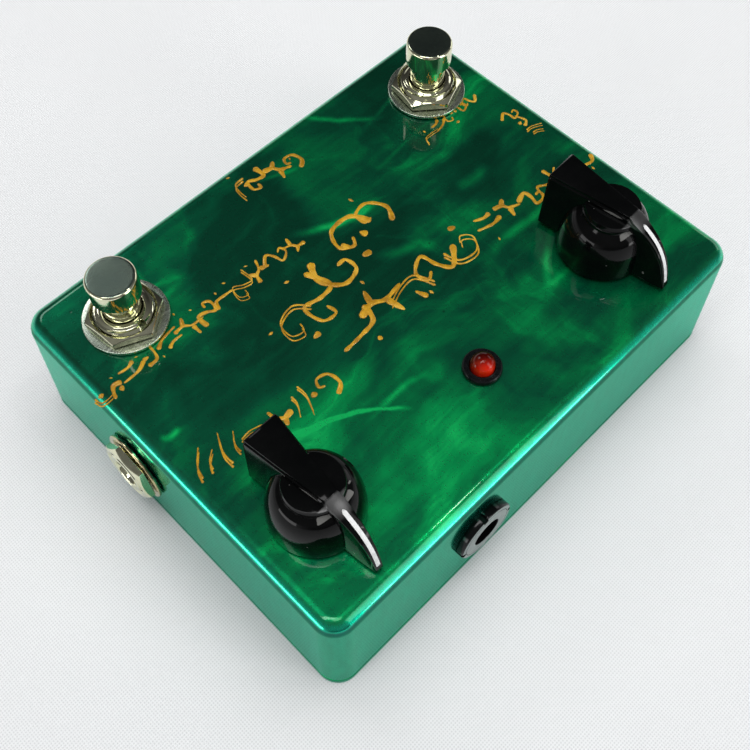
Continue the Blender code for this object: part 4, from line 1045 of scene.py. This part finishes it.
def build_dc(mats):
    out = INLET_OUT
    frame_at = wall_frame("dc_jack_nut", 0, 1, (out + GAP) / 2.0)
    profile = [(5.95, out - 0.04), (6.0, out), (6.55, out), (6.75, out - 0.06), (6.92, out - 0.24)]
    profile += [(7.0, out - 0.48), (7.0, 0.12), (6.93, 0.05), (5.95, 0.05)]
    nut = turned("dc_jack_nut_look", profile, FINE, closed=True)
    for number in range(4):
        notch = box_mesh("notch", (3.0, 1.2, 5.1), (7.6, 0, 0))
        cut(nut, bake_place(notch, spin(7.0 + 90.0 * number)))
    smooth(nut)
    face_tone(nut, mats, out)
    finish_piece(nut, "root", ["dc_jack_nut"], at=frame_at)

    profile = [(3.2, -11.0), (3.2, out - 0.3), (3.3, out - 0.08), (3.42, out), (5.84, out)]
    profile += [(5.88, out - 0.04), (5.88, GAP), (5.6, GAP - 0.1), (5.6, -2.6)]
    profile += [(7.0, -2.6), (7.0, -14.0), (0.3, -14.0), (0.3, -11.0)]
    barrel = turned("dc_jack_body_look", profile, MID, closed=True)
    smooth(barrel)
    face_tone(barrel, mats, out)
    finish_piece(barrel, "root", ["dc_jack_body"], at=frame_at)


# --- quarter inch jacks ---
def build_jack(tag, sign, nut_turn, mats):
    frame_at = wall_frame(tag + "_washer", sign, 0, GAP + JACK_WASHER_T / 2.0)
    profile = ring_profile(JACK_HOLE_R, JACK_WASHER_R, GAP, GAP + JACK_WASHER_T, 0.2)
    washer = turned(tag + "_washer_look", profile, mat=mats["jack_washer"])
    finish_piece(washer, "root", [tag + "_washer"], at=frame_at)

    nut_low = GAP * 2.0 + JACK_WASHER_T
    nut = hex_nut(tag + "_nut_look", JACK_NUT_AF, 5.05, nut_low, nut_low + JACK_NUT_T, mats["nickel"])
    finish_piece(nut, "root", [tag + "_nut"], at=frame_at @ spin(nut_turn))

    inner = -WALL - 2.0 * GAP
    face = JACK_FACE

    def share(radius, height):
        return radius >= JACK_SLEEVE_R - 0.01 and height <= face - 0.3

    rows = [(3.3, inner), (3.3, face - 0.5), (3.42, face - 0.15), (3.6, face)]
    rows += [(4.35, face), (4.5, face - 0.06), (4.62, face - 0.25)]
    step = JACK_PITCH / 6.0
    count = int((face - inner - 0.3) / step)
    rows += [(JACK_SLEEVE_R, face - 0.3 - step * index) for index in range(count)]
    rows += [(JACK_SLEEVE_R, inner)]
    thread = threaded(JACK_PITCH, JACK_THREAD_DEPTH, share)
    sleeve = turned(tag + "_sleeve_look", rows, MID, closed=True, shape=thread, mat=mats["nickel"])
    finish_piece(sleeve, "root", [tag + "_sleeve"], at=frame_at)


# --- gold brush ornament ---
# Abstract brush motifs in a unit square about the middle: each is a list of strokes.
MOTIFS = (
    (((-0.5, -0.30), (-0.30, 0.20), (0.0, 0.05), (0.25, -0.25), (0.5, 0.10), (0.32, 0.34), (0.18, 0.16)),),
    (((-0.42, -0.30), (-0.20, 0.05), (0.30, 0.40)), ((-0.05, -0.38), (0.12, -0.15), (0.46, 0.02))),
    (((-0.5, 0.05), (-0.2, 0.25), (0.15, 0.05), (0.48, -0.20)), ((0.12, 0.42), (0.20, 0.38))),
    (((-0.48, 0.0), (-0.1, -0.22), (0.2, -0.02), (0.46, 0.34)), ((-0.28, 0.30), (-0.06, 0.14))),
    (
        ((-0.38, 0.36), (-0.46, -0.05), (-0.10, -0.36), (0.26, -0.20), (0.20, 0.08), (0.0, 0.04)),
        ((0.3, 0.4), (0.42, 0.25)),
    ),
    (
        ((-0.5, -0.1), (-0.2, 0.12), (0.1, 0.1), (0.5, 0.32)),
        ((-0.2, 0.12), (-0.22, 0.44)), ((0.12, 0.08), (0.34, -0.26)),
    ),
)
# Each band of marks: start and end (x, y), height, number of motifs, stroke width, in millimetres.
BANDS = (
    ((58.3, -19.4), (53.0, -19.2), 5.0, 2, 1.25),
    ((51.8, -20.2), (4.6, -20.0), 5.2, 10, 1.05),
    ((7.0, -38.8), (-9.4, -36.2), 6.4, 4, 1.25),
    ((-33.2, -20.2), (-50.4, -22.0), 4.0, 5, 0.85),
    ((-51.6, -13.4), (-53.6, -4.2), 3.6, 3, 0.85),
    ((-13.5, -15.6), (23.0, -4.2), 9.6, 5, 1.50),
    ((-21.5, 4.2), (15.5, 4.4), 9.8, 5, 1.50),
    ((54.6, 4.6), (22.0, 8.4), 6.0, 6, 1.25),
    ((-23.6, 4.6), (-56.4, 8.6), 5.6, 6, 1.15),
)
STROKE_RISE = 0.15
STROKE_SECTION = (
    (-1.0, -0.6), (-0.92, 0.25), (-0.6, 0.8), (0.0, 1.0), (0.6, 0.8), (0.92, 0.25), (1.0, -0.6),
)
ORNAMENT_SEED = 23
# Turns of a motif from its band's line, in radians, and the shares with a dot or a split bristle mark.
LEANS = (-0.55, 0.55, 2.55, 3.7)
DOT_SHARE = 0.45
BRISTLE_SHARE = 0.4


def stroke(points, width, draw):
    """Rings of one raised brush stroke: a blob where it starts, thinner along, blunt at the end."""
    path = smooth_chain(points, 9 if len(points) > 2 else 12)
    last = len(path) - 1
    length = sum(dist(p, q) for p, q in zip(path, path[1:]))
    rings = []
    gone = 0.0
    wobble = draw.random() * 6.0
    for index, (x, y) in enumerate(path):
        ahead = path[min(last, index + 1)]
        behind = path[max(0, index - 1)]
        if index:
            gone += dist(path[index], path[index - 1])
        run = Vector((ahead[0] - behind[0], ahead[1] - behind[1]))
        across = Vector((-run.y, run.x)).normalized()
        head = exp(-gone / (0.9 * width))
        foot = exp(-(length - gone) / (0.7 * width))
        taper = 1.0 - 0.45 * gone / length
        press = taper * (0.80 + 0.45 * head) + 0.18 * foot + 0.08 * sin(wobble + gone * 2.3)
        tip = min(gone, length - gone) / (0.5 * width)
        round_end = sqrt(max(0.05, 1.0 - max(0.0, 1.0 - tip) ** 2))
        half = width / 2.0 * press * round_end
        rise = STROKE_RISE * (0.6 + 0.5 * press) * (0.4 + 0.6 * round_end)
        rings.append([
            (x + across.x * half * s, y + across.y * half * s, BOX_TOP + rise * z)
            for s, z in STROKE_SECTION
        ])
    return rings


def shifted(points, amount):
    """The stroke's points moved sideways, to lay a second bristle mark beside the first."""
    return [(x + amount * 0.6, y + amount * (0.8 + 0.1 * index)) for index, (x, y) in enumerate(points)]


def build_ornament(gold):
    """Bands of abstract brush marks: curls, waves, sprigs and dots, no lettering."""
    draw = random.Random(ORNAMENT_SEED)
    for number, (start, end, tall, count, width) in enumerate(BANDS):
        start = Vector(start)
        run = Vector(end) - start
        pace = run.length / count
        verts = []
        faces = []
        for index in range(count):
            centre = start + run * ((index + 0.5) / count)
            centre.x += (draw.random() - 0.5) * 0.12 * tall
            centre.y += (draw.random() - 0.5) * 0.22 * tall
            lean = atan2(run.y, run.x) + draw.choice(LEANS) + (draw.random() - 0.5) * 0.5
            size = min(tall, pace * 1.30) * (0.90 + 0.30 * draw.random())
            marks = list(draw.choice(MOTIFS))
            if draw.random() < DOT_SHARE:
                spot = ((draw.random() - 0.5) * 0.9, 0.62 * draw.choice((-1.0, 1.0)))
                marks.append((spot, (spot[0] + 0.05, spot[1] + 0.03)))
            bristle = draw.random() < BRISTLE_SHARE
            for mark in marks:
                points = []
                for u, v in mark:
                    spot = Matrix.Rotation(lean, 2) @ Vector((u * size, v * size))
                    points.append((centre.x + spot.x, centre.y + spot.y))
                thick = width * (0.85 + 0.35 * draw.random())
                lines = [(points, thick)]
                if bristle and len(points) > 2:
                    lines = [(points, thick * 0.42), (shifted(points, thick * 0.55), thick * 0.38)]
                for line, across in lines:
                    add_stroke(verts, faces, stroke(line, across, draw))
        band = solid("gold_ornament_%d" % (number + 1), verts, faces, gold, radians(70.0))
        finish_piece(band, "root")


def add_stroke(verts, faces, rings):
    """Adds a closed tube through the rings to the lists."""
    first = len(verts)
    size = len(rings[0])
    for ring in rings:
        verts.extend(ring)
    for r in range(len(rings) - 1):
        for c in range(size):
            a = first + r * size + c
            b = first + r * size + (c + 1) % size
            faces.append((a, b, b + size, a + size))
    faces.append(tuple(range(first, first + size)))
    faces.append(tuple(range(len(verts) - size, len(verts))))


# --- carried-over CAD nodes ---
def dress_nodes(mats):
    """Procedural materials on the CAD nodes that stay."""
    for name, key in (
        ("locknut", "nickel"), ("washer", "nickel"), ("nut", "nickel"), ("shaft", "pot"),
        ("case", "pot"), ("spring", "spring"), ("insert", "brass"), ("set_screw", "zinc"),
        ("tip_contact", "spring"), ("jack_body", "jack_body"), ("pin", "pin"),
        ("circuit_board", "board"), ("board_post", "nylon"), ("audio_chip", "chip"),
        ("capacitor", "can"), ("lamp_shroud", "shroud"), ("right_body", "switch"), ("left_body", "switch"),
    ):
        for node, obj in NODES.items():
            if name in node:
                obj.data.materials.clear()
                obj.data.materials.append(mats[key])


# --- surroundings ---
def softbox(name, toward, distance, size, power):
    """Rectangular area light that faces the object."""
    lamp = bpy.data.lights.new(name, "AREA")
    lamp.shape = "RECTANGLE"
    lamp.size, lamp.size_y = size
    lamp.energy = power
    obj = bpy.data.objects.new(name, lamp)
    spot = Vector(toward).normalized() * distance
    obj.location = spot
    obj.rotation_euler = (-spot).to_track_quat("-Z", "Y").to_euler()
    bpy.context.scene.collection.objects.link(obj)
    return obj


def build_lights():
    for name, bearing, height, distance, size, power in LIGHTS:
        around = radians(bearing)
        up = radians(height)
        toward = (cos(around) * cos(up), sin(around) * cos(up), sin(up))
        softbox(name, toward, distance, size, power)
    spot, size, power = CEILING
    ceiling = softbox("ceiling_fill", spot, Vector(spot).length, size, power)
    ceiling.visible_glossy = False


def build_floor():
    mesh = bpy.data.meshes.new("floor")
    verts = [(FLOOR_HALF * i, FLOOR_HALF * j, 0.0) for j in (-1, 0, 1) for i in (-1, 0, 1)]
    mesh.from_pydata(verts, [], [(a, a + 1, a + 4, a + 3) for a in (0, 1, 3, 4)])
    mesh.materials.append(cloth_floor())
    floor = bpy.data.objects.new("floor", mesh)
    floor.location.z = -0.05 * MM
    bpy.context.scene.collection.objects.link(floor)


def build_world():
    """Plain room: pale low down but for the dark side, dimmer higher up."""
    world = bpy.data.worlds.new("studio")
    world.use_nodes = True
    sky = Nodes(world.node_tree)
    where = sky.node("TexCoord").outputs["Generated"]
    side = sky.span(sky.vectors("DOT_PRODUCT", where, (0.7, 0.7, 0.0)), -0.80, 0.35, curve="LINEAR")
    room = sky.mix(side, (0.03, 0.03, 0.031), (0.20, 0.20, 0.20))
    drape = sky.span(sky.vectors("DOT_PRODUCT", where, DARK_SIDE), 0.40, 0.80, curve="LINEAR")
    low_room = sky.mix(drape, (0.80, 0.80, 0.81), (0.10, 0.10, 0.10))
    rise = sky.ramp(sky.parts(where)["Z"], (0.08, 0.0), (0.24, 1.0))
    sky.feed(sky.tree.nodes["Background"].inputs["Color"], sky.mix(rise, low_room, room))
    bpy.context.scene.world = world
    bpy.context.scene.view_settings.view_transform = "Standard"


def build_camera():
    data = bpy.data.cameras.new("photo_camera")
    data.lens = CAMERA_LENS
    data.sensor_width = CAMERA_SENSOR
    data.clip_start = 0.01
    camera = bpy.data.objects.new("photo_camera", data)
    camera.location = CAMERA_AT
    camera.rotation_mode = "QUATERNION"
    camera.rotation_quaternion = CAMERA_TURN
    bpy.context.scene.collection.objects.link(camera)
    bpy.context.scene.camera = camera


# Plated metals: name, tone, darker tone, roughness from and to, scuffs, stretch of the grain.
PLATED = {
    "nickel": ("bright_nickel", (0.82, 0.82, 0.60), (0.68, 0.68, 0.46), 0.06, 0.12, 0.2),
    # The cap top's darker grey-green tone is painted shade of the nickel; its scuffs are real wear.
    "cap_top": ("scuffed_cap_top", (0.27, 0.35, 0.29), (0.21, 0.28, 0.24), 0.20, 0.27, 0.6),
    "washer": ("satin_washer", (0.72, 0.80, 0.68), (0.52, 0.60, 0.50), 0.22, 0.34, 0.3, (1, 4, 1)),
    "jack_washer": ("jack_washer_nickel", (0.66, 0.58, 0.36), (0.46, 0.38, 0.20), 0.12, 0.22, 0.2),
    "pot": ("pot_steel", (0.62, 0.62, 0.60), (0.48, 0.48, 0.47), 0.28, 0.42),
    "spring": ("spring_wire", (0.56, 0.56, 0.58), (0.42, 0.42, 0.44), 0.2, 0.35),
    "brass": ("turned_brass", (0.76, 0.56, 0.26), (0.62, 0.44, 0.20), 0.2, 0.34),
    "zinc": ("zinc_screw", (0.62, 0.62, 0.63), (0.46, 0.46, 0.48), 0.25, 0.42),
    "shroud": ("drawn_can", (0.64, 0.64, 0.64), (0.52, 0.52, 0.52), 0.28, 0.42, 0.2, (8, 1, 1)),
    # The inlet's front ring is black plastic; its paler grey-teal metal tone is a painted reflection of the
    # floor.
    "inlet_face": ("inlet_face_satin", (0.30, 0.35, 0.33), (0.24, 0.28, 0.27), 0.30, 0.42, 0.1),
    "pin": ("shaded_pin", (0.10, 0.10, 0.09), (0.06, 0.06, 0.055), 0.3, 0.45),
}
# Moulded plastics: name, dark and light tone, roughness from and to, grain's scale, its depth in
# millimetres, specular level.
MOULDED = {
    "bezel": ("bezel_black", (0.002, 0.0025, 0.003), (0.006, 0.007, 0.008), 0.22, 0.40, 1400.0, 0.10, 0.3),
    "inlet": (
        "inlet_black", (0.0015, 0.002, 0.002), (0.003, 0.0035, 0.0035), 0.06, 0.14, 300.0, 0.01, 0.25,
    ),
    "inlet_bore": (
        "inlet_bore_black", (0.0008, 0.0008, 0.0008), (0.0014, 0.0014, 0.0014), 0.7, 0.9, 500.0, 0.02, 0.05,
    ),
    "jack_body": ("jack_body_black", (0.010, 0.010, 0.011), (0.020, 0.020, 0.021), 0.3, 0.45),
    "switch": ("switch_blue", (0.015, 0.03, 0.13), (0.025, 0.05, 0.18), 0.35, 0.5),
    "nylon": ("natural_nylon", (0.70, 0.68, 0.60), (0.78, 0.77, 0.71), 0.4, 0.55),
    "chip": ("chip_epoxy", (0.012, 0.012, 0.012), (0.026, 0.026, 0.027), 0.5, 0.65),
    "can": ("capacitor_sleeve", (0.008, 0.02, 0.10), (0.014, 0.035, 0.15), 0.25, 0.4),
}


def make_materials():
    mats = {key: plated(*row) for key, row in PLATED.items()}
    mats.update({key: moulded(*row) for key, row in MOULDED.items()})
    for key, make in (
        ("paint", candy_paint), ("gold", gold_paint), ("knob", knob_plastic),
        ("white", pointer_white), ("lens", lens_red), ("board", laminate),
    ):
        mats[key] = make()
    return mats


def main():
    build_camera()
    build_floor()
    build_lights()
    build_world()
    mats = make_materials()
    dress_nodes(mats)
    build_box(mats["paint"])
    build_cover(mats["paint"], mats["zinc"])
    for side, nut_turn, key_turn in SWITCHES:
        build_footswitch(side, nut_turn, key_turn, mats)
    for side, turn in KNOBS:
        build_knob(side, turn, mats)
    build_lamp(mats)
    build_dc(mats)
    build_jack("input_jack", 1, 18.0, mats)
    build_jack("output_jack", -1, 0.0, mats)
    build_ornament(mats["gold"])


main()
